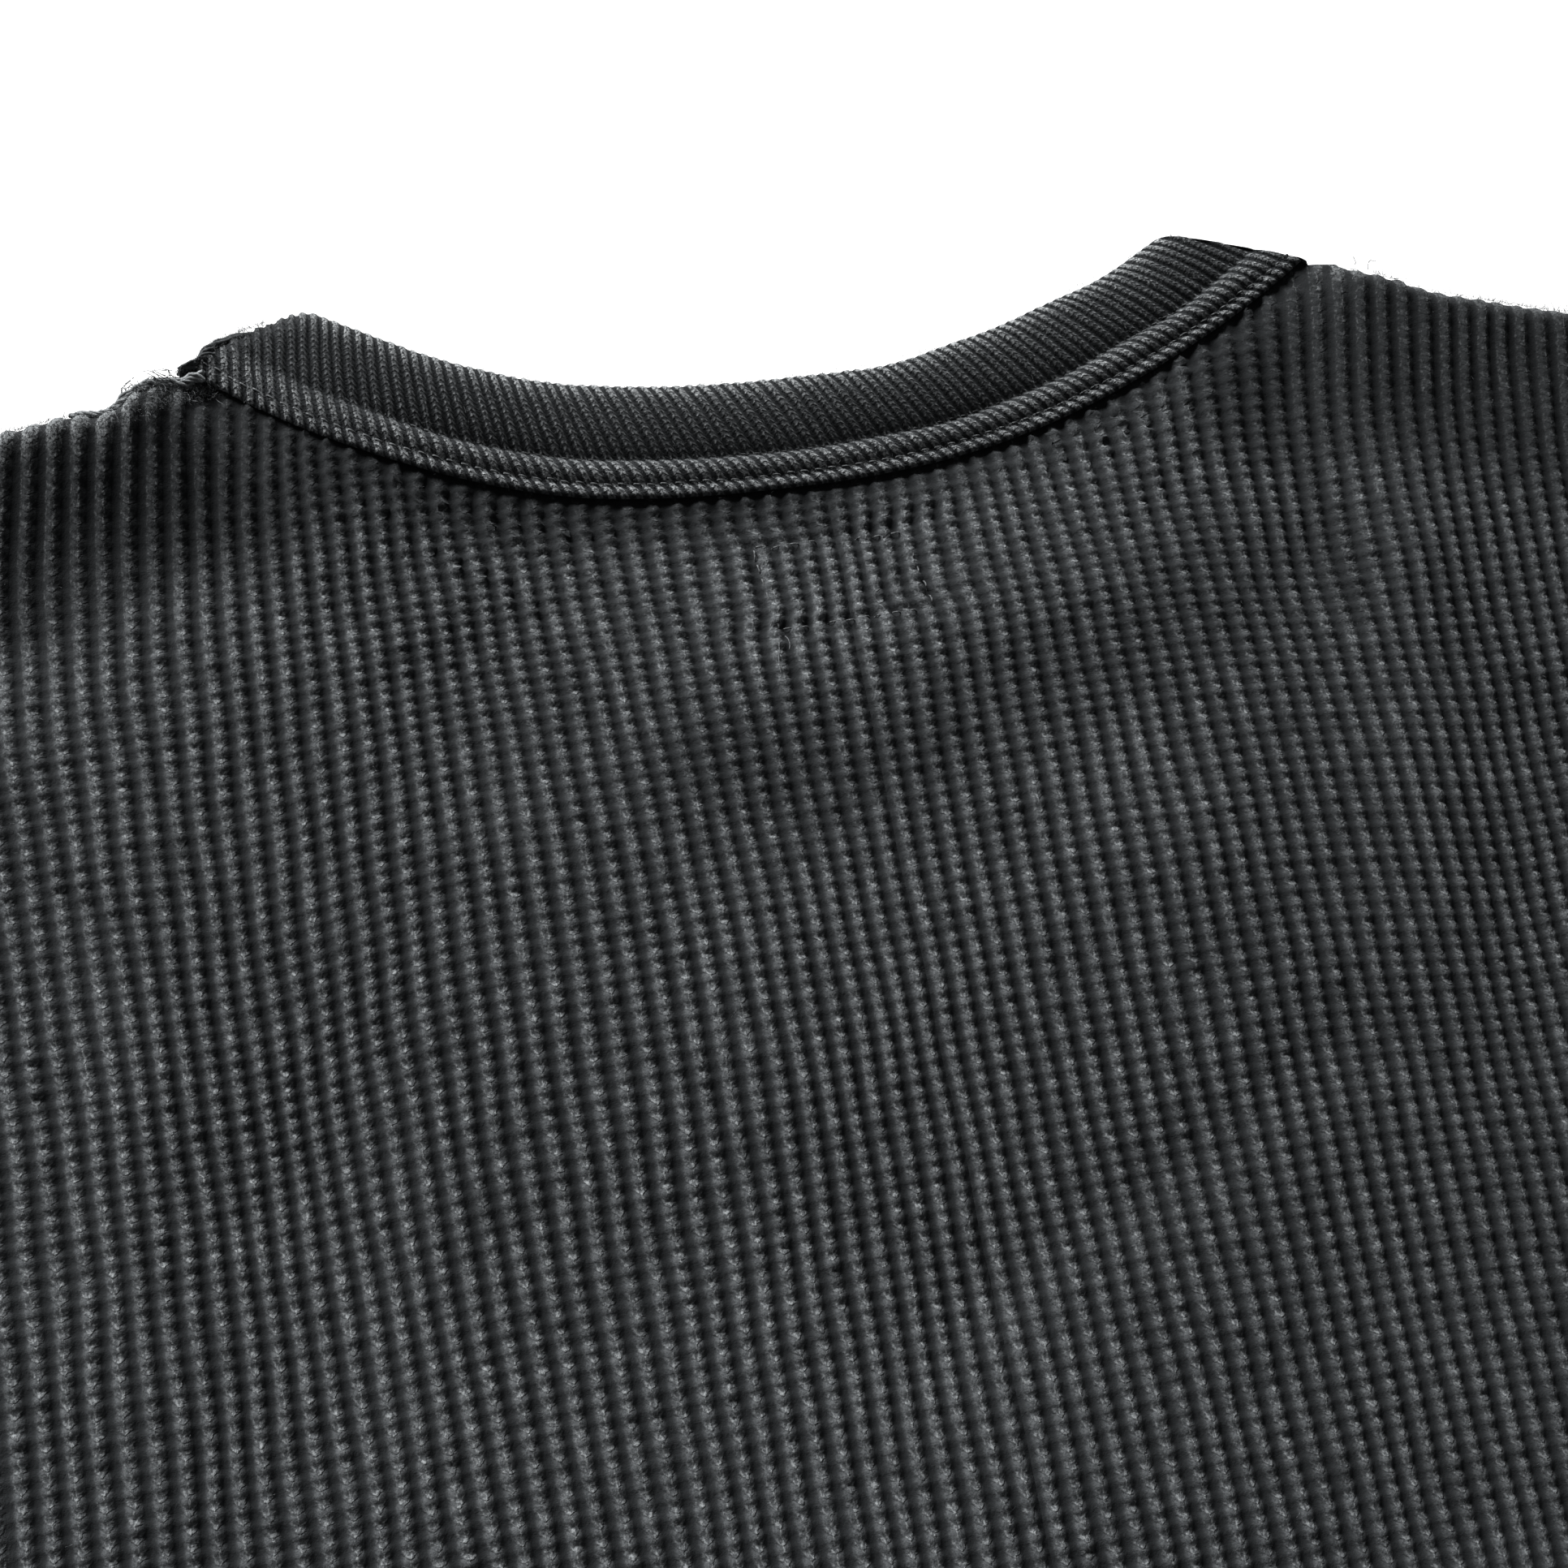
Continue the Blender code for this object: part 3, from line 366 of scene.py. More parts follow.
SINK_STARTS, SINK_FULL, SINK_ENDS = 0.0045, 0.006, 0.042  # away from the seam
SHOULDER_RISE = {-1: 0.0070, 1: 0.0036}  # the seam inside lifts the cloth along each shoulder
SHOULDER_FALL, FALL_POWER = 0.031, 1.4
RISE_FROM, RISE_OVER, RISE_TO, RISE_FADES = 0.083, 0.020, 0.205, 0.060
RISE_UNEVEN, RISE_WAVE = 0.12, 0.050
FOLDS_FROM, FOLDS_FULL, RIDGE_STARTS = 0.003, 0.012, 0.011
HEM_DEPTH, HEM_STEP, HEM_OVER = 0.025, 0.0005, 0.003
RIPPLE, RIPPLE_WAVE = 0.00022, 0.060
print(f"{len(BODY_FOLDS)} folds and {len(SOFT_FOLDS)} finer ones lie over the back")

# %% Height of the back
def fold_height(folds, x, y, run_out=0.35):
    """Height of the soft folds at each point. They run out at both ends."""
    height = np.zeros(np.broadcast(x, y).shape)
    for x0, y0, x1, y1, width, top in folds:
        run = np.array((x1 - x0, y1 - y0))
        along = ((x - x0) * run[0] + (y - y0) * run[1]) / (run @ run)
        off = ((x - x0) * run[1] - (y - y0) * run[0]) / math.sqrt(run @ run)
        past = run_out / 2
        ends = smooth((along + past) / run_out) * smooth((1.0 + past - along) / run_out)
        height = height + top * ends * bell(off, width)
    return height


def to_seam(x, y):
    """Distance to the back neck seam in plan, and the x of its nearest point."""
    gap, seam_x = np.full(x.shape, np.inf), np.zeros(x.shape)
    for px, py in BACK_SEAM:
        here = np.hypot(x - px, y - py)
        closer = here < gap
        gap, seam_x = np.where(closer, here, gap), np.where(closer, px, seam_x)
    return gap, seam_x

# %% Underside and outside of the back
def shoulder_ridge(x, y):
    """How far the shoulder seam inside lifts the cloth. It falls away down the back."""
    down = np.clip((shoulder_line(x) - y) * math.cos(SHOULDER_SLOPE) / SHOULDER_FALL, 0.0, 1.0)
    reach = smooth((np.abs(x) - RISE_FROM) / RISE_OVER) * smooth((RISE_TO - np.abs(x)) / RISE_FADES)
    uneven = 1.0 + RISE_UNEVEN * waves(x, y, 12, RISE_WAVE)
    return by_side(x, SHOULDER_RISE) * uneven * reach * (1.0 - down) ** FALL_POWER


def back_underside(x, y):
    """Height of the inside of the back panel, above what lies under it."""
    foot_x, foot_y = FRONT_SEAM[:, 0].max(), FRONT_SEAM[:, 1].max()
    depth = np.clip(foot_y - y, 0.0, None) / (FRONT_NECK_DROP + foot_y)
    ring = np.hypot(x / foot_x, depth)
    outside = between(WALL_REST, OVER_COLLAR, smooth(1.0 - (ring - OUTER_PLATEAU) / OUTER_FALL))
    inside = between(IN_NECK_HOLE, OVER_COLLAR, smooth((ring - INNER_FOOT) / INNER_RISE))
    lying = np.where(ring > 1.0, outside, inside)
    gap, seam_x = to_seam(x, y)
    above = (np.abs(x) < NECK_HALF_WIDTH) & (y > np.interp(x, BACK_SEAM[:, 0], BACK_SEAM[:, 1]))
    near = np.where(above, 1.0, smooth(1.0 - gap / COLLAR_REACH))
    in_collar = back_neck_height(np.where(above, x, seam_x)) - WALL / 2 + SLOT_PLAY
    loose = smooth((gap - FOLDS_FROM) / FOLDS_FULL) * ~above
    depth = between(NECK_SINK[-1], NECK_SINK[1], smooth((seam_x - SINK_FROM) / SINK_OVER))
    sunk = smooth(gap / SINK_STARTS) * (1.0 - smooth((gap - SINK_FULL) / SINK_ENDS))
    dip = sunk * ~above * depth
    folds = fold_height(BODY_FOLDS, x, y) + fold_height(SOFT_FOLDS, x, y)
    ripple = RIPPLE * (1.0 + waves(x, y, 11, RIPPLE_WAVE))
    hem = HEM_STEP * smooth((HEM_DEPTH - BODY_LENGTH - y) / HEM_OVER)
    ridge = shoulder_ridge(x, y) * smooth(gap / RIDGE_STARTS) * ~above
    lie = between(lying, in_collar, near) + loose * (folds + ripple + hem) + ridge - dip
    return np.maximum(lie, LAYER_GAP)


def edge_share(x, y, top, inset):
    """0 at a rolled edge and 1 one roll inwards, for a face that lies inset from the outer one."""
    sides = quarter_round(CHEST_HALF_WIDTH - inset - np.abs(x), EDGE_ROLL - inset)
    down = quarter_round((top - y) * math.cos(SHOULDER_SLOPE), EDGE_ROLL - inset)
    along = rolled(x) * (np.abs(x) <= SHOULDER_HALF_WIDTH)
    return np.minimum(sides, between(1.0, down, along))


def back_outside(x, y, top):
    """Height of the ground of the knit, between its ribs, on the outside of the back."""
    return between(EDGE_TOP, back_underside(x, y) + WALL - GROUND, edge_share(x, y, top, 0.0))


def back_inside(x, y, top):
    """Height of the inside face of the back."""
    return between(EDGE_UNDER, back_underside(x, y), edge_share(x, y, top, WALL))


print(f"the ridge along a shoulder stands {shoulder_ridge(0.13, -0.012) * 1000:.1f} mm high")

# %% [markdown]
# ## Meshes with knit coordinates
#
# Every mesh is laid out as rows and columns of points. Each point also keeps where it is in the
# knit, in ribs across and beads along, as its UV. A finish can then follow the knit wherever the
# cloth bends, and it doesn't matter how the points were spaced.

# %% Mesh helpers
def grid_faces(index):
    """Faces over a grid of point numbers. Where points were merged, they become triangles."""
    a, b, c, d = index[:-1, :-1], index[1:, :-1], index[1:, 1:], index[:-1, 1:]
    quads = np.stack((a, b, c, d), axis=-1).reshape(-1, 4)
    merged = (quads == np.roll(quads, -1, axis=1)).any(axis=1)
    faces = quads[~merged].tolist()
    for quad in quads[merged].tolist():
        kept = list(dict.fromkeys(quad))
        if len(kept) > 2:
            faces.append(kept)
    return faces


def zip_edges(first, first_at, second, second_at):
    """Triangles between two rows of points of different counts, in step with their places."""
    faces = []
    i = j = 0
    while i < len(first) - 1 or j < len(second) - 1:
        second_done = j == len(second) - 1
        if i < len(first) - 1 and (second_done or first_at[i + 1] <= second_at[j + 1]):
            faces.append((first[i], first[i + 1], second[j]))
            i += 1
        else:
            faces.append((first[i], second[j + 1], second[j]))
            j += 1
    return [face for face in faces if len(set(face)) == 3]


def make_piece(name, points, faces, knit=None, values=None, sharp=math.radians(60), closed=True):
    """One mesh object from plan points, without the points that no face uses."""
    flat = np.concatenate([np.asarray(face) for face in faces])
    used, renumbered = np.unique(flat, return_inverse=True)
    counts = np.array([len(face) for face in faces])
    mesh = bpy.data.meshes.new(name)
    placed = np.asarray(points)[used] + (0.0, ORIGIN_Y, 0.0)
    mesh.vertices.add(len(used))
    mesh.vertices.foreach_set("co", placed.astype(np.float32).ravel())
    mesh.loops.add(len(flat))
    mesh.loops.foreach_set("vertex_index", renumbered.astype(np.int32))
    mesh.polygons.add(len(counts))
    mesh.polygons.foreach_set("loop_start", np.append(0, np.cumsum(counts)[:-1]).astype(np.int32))
    mesh.update(calc_edges=True)
    if knit is not None:
        layer = mesh.uv_layers.new(name="knit")
        layer.uv.foreach_set("vector", np.asarray(knit)[flat].astype(np.float32).ravel())
    for key, value in (values or {}).items():
        spread = mesh.attributes.new(key, "FLOAT", "POINT")
        spread.data.foreach_set("value", np.asarray(value)[used].astype(np.float32))
    if closed:
        work = bmesh.new()
        work.from_mesh(mesh)
        bmesh.ops.recalc_face_normals(work, faces=work.faces)
        work.to_mesh(mesh)
        work.free()
    mesh.validate()
    mesh.shade_smooth()
    mesh.set_sharp_from_angle(angle=sharp)
    piece = bpy.data.objects.new(name, mesh)
    bpy.context.collection.objects.link(piece)
    mesh.calc_loop_triangles()
    print(f"{name}: {len(mesh.loop_triangles)} triangles")
    return piece

# %% [markdown]
# ## The waffle knit itself
#
# A waffle thermal has upright ribs. Each rib is a string of square beads, and low bridges cross
# the channel between two ribs at the height of each bead, which leaves a dark pit in every cell.
# A bump texture alone looks printed from the side, because a pit has real depth and shadow. So
# near the neck the cells are modelled: six columns across each rib and four rows along each
# bead, with every point moved out along the cloth's own normal. Farther away, where nobody looks
# that closely, only the ribs are modelled and the beads are left to bump.

# %% Shape of one cell
GROUND = 0.0004  # the channel lies this much under the plain wall's face
RIB_RISE = 0.00125
BEAD_DIP = 0.36  # the rib dips by this share between two beads
BRIDGE_RISE = 0.00012
RIB_FOOT, RIB_SIDE = 0.42, 0.32  # half width of a rib at its foot, and of its side, in ribs
BEAD_SPREAD = 0.075  # a rib is wider at its beads
BEAD_POWER, BEAD_MEAN = 0.75, 0.62  # how full a bead is, and its height where ribs run smooth
PULLED_DIP = 0.62  # how much of the dip is gone where the cloth is pulled over the shoulder
PULLED_FOOT = 0.06  # and how much narrower a rib is there
PULLED_DOWN, PULLED_FADES = 0.004, 0.050  # below the shoulder line
PULLED_FROM, PULLED_OVER = 0.070, 0.025  # out from the middle


def pulled_at(x, y):
    """1 where the knit is stretched over the shoulder, so that its ribs run smooth."""
    down = smooth(1.0 - (shoulder_line(x) - y - PULLED_DOWN) / PULLED_FADES)
    return down * smooth((np.abs(x) - PULLED_FROM) / PULLED_OVER)


def waffle_relief(u, v, detail=1.0, pulled=0.0):
    """Height of the knit over its ground at u ribs across and v beads along."""
    across = np.abs(u - np.round(u))
    bead = (0.5 + 0.5 * np.cos(2.0 * math.pi * v)) ** BEAD_POWER
    bead = between(BEAD_MEAN, bead, detail * (1.0 - PULLED_DIP * pulled))
    foot = RIB_FOOT + BEAD_SPREAD * (bead - 0.5) - PULLED_FOOT * pulled
    rib = smooth((foot - across) / RIB_SIDE)
    return RIB_RISE * rib * (1.0 - BEAD_DIP * (1.0 - bead)) + BRIDGE_RISE * (1.0 - rib) * bead


LOT_RIBS, LOT_ROWS, ROWS_ABOVE = 160, 300, 10
IN_HEIGHT, IN_DYE = 0, 1
BEAD_LOT = np.random.default_rng(7).normal(0.0, 1.0, (LOT_RIBS, LOT_ROWS, 2))


def bead_lot(u, v, which):
    """How the bead at each point differs from the others, in height or in dye."""
    rib = np.clip(np.round(u).astype(int) + LOT_RIBS // 2, 0, LOT_RIBS - 1)
    row = np.clip(np.round(v).astype(int) + ROWS_ABOVE, 0, LOT_ROWS - 1)
    return BEAD_LOT[rib, row, which]


CREST, PIT = waffle_relief(0.0, 0.0), waffle_relief(0.5, 0.5)
print(f"one bead stands {(CREST - PIT) * 1000:.2f} mm over the pit beside it")

# %% [markdown]
# ## The lie of the ribs
#
# Ribs never run quite straight. They sway, they crowd together where a label was sewn through
# the neck, and they bend where a fold starts. The sway is a small shift in the plan.

# %% How the ribs sway, and where the label stitching gathers them
SWAY = 0.0009
FREE_FROM, FREE_OVER = 0.008, 0.030  # in from the side, where the ribs follow the cut edge
LABEL_MIDDLE = (0.0019, -0.0472)
LABEL_HALF = (0.0132, 0.0074)
LABEL_GATHER, GATHER_REACH = 0.0012, 1.9  # the most that a rib moves, and how far off, in halves
GATHER_PAST, GATHER_FADES = 0.004, 0.005  # above and below the label
LABEL_SINK, LABEL_SOFT = 0.00030, 0.0014
FAN, FAN_DEPTH, FAN_LIMIT = {-1: 0.0050, 1: 0.0085}, {-1: 0.050, 1: 0.070}, 1.2
FAN_FROM, FAN_OVER = 0.042, 0.046
ROWS_GATHERED = 0.0045  # the rows stand closer below the neck, where the collar draws them in
ROWS_FROM, ROWS_OVER, ROWS_END, ROWS_FADE = -0.026, 0.055, -0.24, 0.13
ROWS_SIDE, ROWS_SIDE_FADE = 0.105, 0.05


def label_line(x, y):
    """1 on the stitched rectangle's edge, 0 away from it."""
    across = np.abs(x - LABEL_MIDDLE[0]) - LABEL_HALF[0]
    along = np.abs(y - LABEL_MIDDLE[1]) - LABEL_HALF[1]
    return bell(np.maximum(across, along), LABEL_SOFT)


def label_gather(x, y):
    """How far the ribs are drawn together between the label's two sides."""
    off = np.clip((x - LABEL_MIDDLE[0]) / (GATHER_REACH * LABEL_HALF[0]), -1.0, 1.0)
    inside = LABEL_HALF[1] + GATHER_PAST - np.abs(y - LABEL_MIDDLE[1])
    return LABEL_GATHER * np.sin(off * math.pi) * smooth(inside / GATHER_FADES)


def sway(x, y):
    """Plan places of knit points after the ribs have swayed."""
    free = smooth((CHEST_HALF_WIDTH - FREE_FROM - np.abs(x)) / FREE_OVER)
    dx = SWAY * waves(x, y, 3, 0.110) + 0.25 * SWAY * waves(x, y, 4, 0.024) - label_gather(x, y)
    dy = 0.5 * SWAY * waves(x, y, 5, 0.090)
    near = np.clip(1.0 - (shoulder_line(x) - y) / by_side(x, FAN_DEPTH), 0.0, FAN_LIMIT) ** 2
    dx = dx + by_side(x, FAN) * near * smooth((np.abs(x) - FAN_FROM) / FAN_OVER)
    below = smooth((ROWS_FROM - y) / ROWS_OVER) * smooth((y - ROWS_END) / ROWS_FADE)
    dy = dy + ROWS_GATHERED * below * smooth((ROWS_SIDE - np.abs(x)) / ROWS_SIDE_FADE)
    return x + free * dx, y + free * dy


print(f"a rib at the right shoulder moves {(sway(0.1, -0.01)[0] - 0.1) * 1000:.1f} mm outwards")

# %% [markdown]
# ## Where the back is rubbed, and where shade is painted into its colour
#
# Garment dye wears off first where the cloth is rubbed: along the shoulder edges, which are also
# lightened as painted highlight, and on the beads in the open. The darker places are painted shade:
# under the collar and the shoulders, on the shadowed side of one fold, over the band below the
# label and towards the right, the colour is darkened where the cloth lies in shade, and round the
# label less is darkened, where the cloth faces the light. A mask painted by hand could hold this,
# but nobody could read why. So each cause is one soft shape over the plan, and the strongest counts.

# %% Painted shade over the back
# the shoulder edges are lightened, partly as wear and partly as painted highlight where the edge faces
# the light, more on the left
EDGE_WEAR_AND_LIGHT, WEAR_AND_LIGHT_DEPTH, WEAR_AND_LIGHT_FROM_COLLAR = {-1: 1.60, 1: 0.90}, 0.0048, 0.003
# painted shade: where and how much the back's colour is darkened for the shade under the shoulders, by
# the collar, on one fold, over a band, towards the right and above the label; round the label less
# shade is painted, where the cloth faces the light
UNDER_SHOULDER, SHOULDER_FADES = {-1: 0.022, 1: 0.026}, {-1: 0.027, 1: 0.034}  # depths
SHELTER_FROM, SHELTER_OVER = 0.054, 0.022  # out from the middle
SHELTER_SHADE, CORNER_FROM, CORNER_OVER = {-1: 1.22, 1: 1.12}, -0.108, 0.020
FOLD_AT, FOLD_WIDTH, FOLD_ENDS, FOLD_FADES, FOLD_SHADE = 0.086, 0.006, -0.080, 0.020, 0.92
COLLAR_WIDTH, COLLAR_SHADE = {-1: 0.0135, 1: 0.0080}, {-1: 1.15, 1: 0.95}
COLLAR_FROM, COLLAR_OVER = -0.050, 0.070  # where the left values go over into the right ones
BACK_BAND_Y, BACK_BAND_RISE, BACK_BAND_WIDTH = -0.077, 0.26, 0.018
BACK_BAND_FROM, BACK_BAND_OVER, BACK_BAND_SHADE = -0.052, 0.030, 0.64
RIGHT_FROM, RIGHT_OVER, RIGHT_SHADE = -0.010, 0.090, 0.48
LIT_LABEL_MIDDLE, LIT_LABEL_WIDTH, LIT_LABEL_SHARE = (0.002, -0.048), 0.019, 0.6
YOKE_ENDS, YOKE_FADES, YOKE_SHADE = -0.110, 0.030, (0.04, 0.32)


def painted_shade_at(x, y, gap):
    """Painted shade: 1 where the colour is darkened most for shade under the shoulders, by the collar,
    on a fold, a band and the right. gap is the way to the neck seam.
    """
    below = shoulder_line(x) - y - by_side(x, UNDER_SHOULDER)
    shoulder = 1.0 - smooth(below / by_side(x, SHOULDER_FADES))
    shoulder = shoulder * smooth((np.abs(x) - SHELTER_FROM) / SHELTER_OVER)
    corner = np.where(x < 0, smooth((x - CORNER_FROM) / CORNER_OVER), 1.0)
    shoulder = shoulder * between(1.0, by_side(x, SHELTER_SHADE), corner)
    to_right = smooth((x - COLLAR_FROM) / COLLAR_OVER)
    collar = bell(gap, between(COLLAR_WIDTH[-1], COLLAR_WIDTH[1], to_right))
    collar = collar * between(COLLAR_SHADE[-1], COLLAR_SHADE[1], to_right)
    fold = FOLD_SHADE * bell(x - FOLD_AT, FOLD_WIDTH) * smooth((y - FOLD_ENDS) / FOLD_FADES)
    middle = BACK_BAND_Y + BACK_BAND_RISE * np.maximum(x, 0.0)
    band = BACK_BAND_SHADE * bell(y - middle, BACK_BAND_WIDTH)
    band = band * smooth((x - BACK_BAND_FROM) / BACK_BAND_OVER)
    label = bell(np.hypot(x - LIT_LABEL_MIDDLE[0], y - LIT_LABEL_MIDDLE[1]), LIT_LABEL_WIDTH)
    right = RIGHT_SHADE * smooth((x - RIGHT_FROM) / RIGHT_OVER) * (1.0 - LIT_LABEL_SHARE * label)
    yoke = YOKE_SHADE[0] + YOKE_SHADE[1] * smooth((y - YOKE_ENDS) / YOKE_FADES)
    yoke = yoke * (1.0 - label)
    return np.maximum.reduce((shoulder, collar, fold, band, right, yoke))


# the printed value is the painted shade just below the collar
print(f"1 mm below the collar the dye is kept by {painted_shade_at(0.0, -0.032, 0.001):.2f}")

# %% [markdown]
# ## The back panel
#
# The back is one cut piece. Its knit is so fine that it takes two meshes, and they meet in the
# channel between two ribs, where the join can't be seen. Each is a closed wall: a fine outer face
# near the neck, coarser ones at the side and below, a plain inside, and the edges between them.
# Rows of beads stay level while the neck curve cuts through them, as in cut cloth: each column of
# points runs up to the edge and stops there, and the points that would lie past it are merged.

# %% Points of the back
FINE_ACROSS = (-0.5, -0.34, -0.17, 0.0, 0.17, 0.34)  # places of the columns in one rib
FINE_ALONG = (0.0, 0.25, 0.5, 0.75)
HALF_RIBS = {-1: range(-38, 1), 1: range(1, 41)}  # ribs that are modelled bead by bead
JOIN_X = 0.5 * WAFFLE_PITCH
FINE_ROWS, MID_ROWS, TOP_ROW = 90, 102, -4  # in beads below the high shoulder points
LOWER_ROWS, LOWER_STEP = 36, 0.0125
DETAIL_FADES = 3.0  # beads flatten into plain ribs over this many rows
ARMHOLE_COLUMNS = ARMHOLE_WIDTH * np.linspace(0.0, 0.94, 22) ** ARMHOLE_POWER
SIDE_COLUMNS = np.array((0.0022, 0.0009, 0.0003, 0.0))  # in from the side edge
INSIDE_ROWS, FINE_INSIDE = 28, 0.110  # rows of the inside face below that depth
INSIDE_DEPTHS = np.array((0.096, 0.084, 0.072, 0.060, 0.048, 0.036, 0.024, 0.014, 0.005, 0.0015, 0.0))
INSIDE_MIDDLE = 0.130  # the inside has closer columns up to here
COARSE_SHADE = 0.30  # painted shade: the colour is darkened this much where the beads are bump, which casts no shadow
SLOPE_STEP = 0.0002  # how far apart two heights are taken for a slope
EDGE_RELIEF, EDGE_RELIEF_FADES = {-1: 0.40, 1: 0.15}, 0.0060  # ribs pressed flat at the edge
SEAM_FREE, SEAM_RISE, SLOT_MARGIN = 0.0001, 0.0022, 0.0005  # ribs start off the collar's edge
BEAD_UNEVEN = 0.08


def back_points(u, v, detail):
    """Points, knit coordinates and values over a grid of ribs and beads, cut at the edge."""
    u, v = np.broadcast_arrays(u[:, None], v[None, :])
    x, y = sway(u * WAFFLE_PITCH, -v * BEAD_PITCH)
    top = upper_edge(x, True)
    over = y >= top
    y = np.where(over, top, y)
    base = back_outside(x, y, top)
    slope_x = (back_outside(x + SLOPE_STEP, y, top) - base) / SLOPE_STEP
    slope_y = (base - back_outside(x, y - SLOPE_STEP, top)) / SLOPE_STEP
    size = np.sqrt(1.0 + slope_x**2 + slope_y**2)
    gap, _ = to_seam(x, y)
    under_collar = (np.abs(x) < NECK_HALF_WIDTH) & (top - y < PANEL_IN_SLOT + SLOT_MARGIN)
    free = np.where(under_collar, 0.0, smooth((gap - SEAM_FREE) / SEAM_RISE))
    pulled = pulled_at(x, y)
    uneven = 1.0 + BEAD_UNEVEN * bead_lot(u, v, IN_HEIGHT) * detail
    relief = waffle_relief(u, v, detail, pulled) * uneven
    inwards = smooth((top - y) / EDGE_RELIEF_FADES + under_collar)
    relief = free * between(by_side(x, EDGE_RELIEF), 1.0, inwards) * relief
    relief = relief - LABEL_SINK * label_line(x, y) * free
    move = relief / size
    points = np.stack((x - slope_x * move, y - slope_y * move, base + move), axis=-1)
    points[..., 2] = np.maximum(points[..., 2], EDGE_UNDER)
    # wear and painted highlight along the shoulder edge
    worn = by_side(x, EDGE_WEAR_AND_LIGHT) - (top - y) / WEAR_AND_LIGHT_DEPTH
    wear = np.clip(worn, 0.0, 1.0) * smooth((np.abs(x) - NECK_HALF_WIDTH) / WEAR_AND_LIGHT_FROM_COLLAR)
    first = np.where(over.any(axis=1), over.argmax(axis=1), over.shape[1] - 1)
    rows = np.minimum(np.arange(over.shape[1])[None, :], first[:, None])
    index = np.arange(over.shape[0])[:, None] * over.shape[1] + rows
    detail = np.broadcast_to(detail, u.shape)
    values = {"detail": detail, "wear": wear, "lot": bead_lot(u, v, IN_DYE), "pulled": pulled}
    # painted shade: the shade mask, at least the share that stands for the missing shadows of bumped
    # beads
    values["painted_shade"] = np.maximum(painted_shade_at(x, y, gap), COARSE_SHADE * (1.0 - detail))
    return points, np.stack((u, v), axis=-1), values, index

# %% Columns and inside of the back
def column_of(index):
    """Point numbers up one column, once each."""
    return list(dict.fromkeys(index.tolist()))


def back_columns(side):
    """Places of the columns, in ribs: bead by bead, beside those, and all of them below."""
    ribs = HALF_RIBS[side]
    fine = np.array([k + o for k in ribs for o in FINE_ACROSS] + [ribs[-1] + 0.5])
    first = ribs[0] - 1.0 if side < 0 else ribs[-1] + 1.0
    even = np.arange(first, side * CHEST_HALF_WIDTH / WAFFLE_PITCH, side * 0.5)
    extra = (SHOULDER_HALF_WIDTH + ARMHOLE_COLUMNS, CHEST_HALF_WIDTH - SIDE_COLUMNS)
    extra = side * np.concatenate(extra) / WAFFLE_PITCH
    outer = np.unique(np.round(np.concatenate((even, extra)), 5))
    below = np.unique(np.concatenate((np.arange(ribs[0] - 0.5, ribs[-1] + 0.75, 0.5), outer)))
    return fine, outer, below


def back_inside_points(side):
    """Points of the plain inside face, in columns from the hem up to the edge."""
    reach = (
        np.linspace(side * JOIN_X, INSIDE_MIDDLE, 15),
        np.linspace(INSIDE_MIDDLE, SHOULDER_HALF_WIDTH, 6),
        SHOULDER_HALF_WIDTH + ARMHOLE_WIDTH * np.linspace(0.12, 0.96, 11) ** ARMHOLE_POWER,
        CHEST_HALF_WIDTH - np.array((EDGE_ROLL, 0.0026, WALL)),
    )
    x = np.sort(side * np.unique(np.concatenate(reach)))
    inset = WALL / math.cos(SHOULDER_SLOPE) * rolled(x) * (np.abs(x) <= SHOULDER_HALF_WIDTH)
    top = (upper_edge(x, True) - inset)[:, None]
    share = np.linspace(0.0, 1.0, INSIDE_ROWS)
    lower_part = -BODY_LENGTH + share * (top - FINE_INSIDE + BODY_LENGTH)
    y = np.concatenate((lower_part, top - INSIDE_DEPTHS), axis=1)
    x = np.broadcast_to(x[:, None], y.shape)
    return np.stack((x, y, back_inside(x, y, top)), axis=-1)

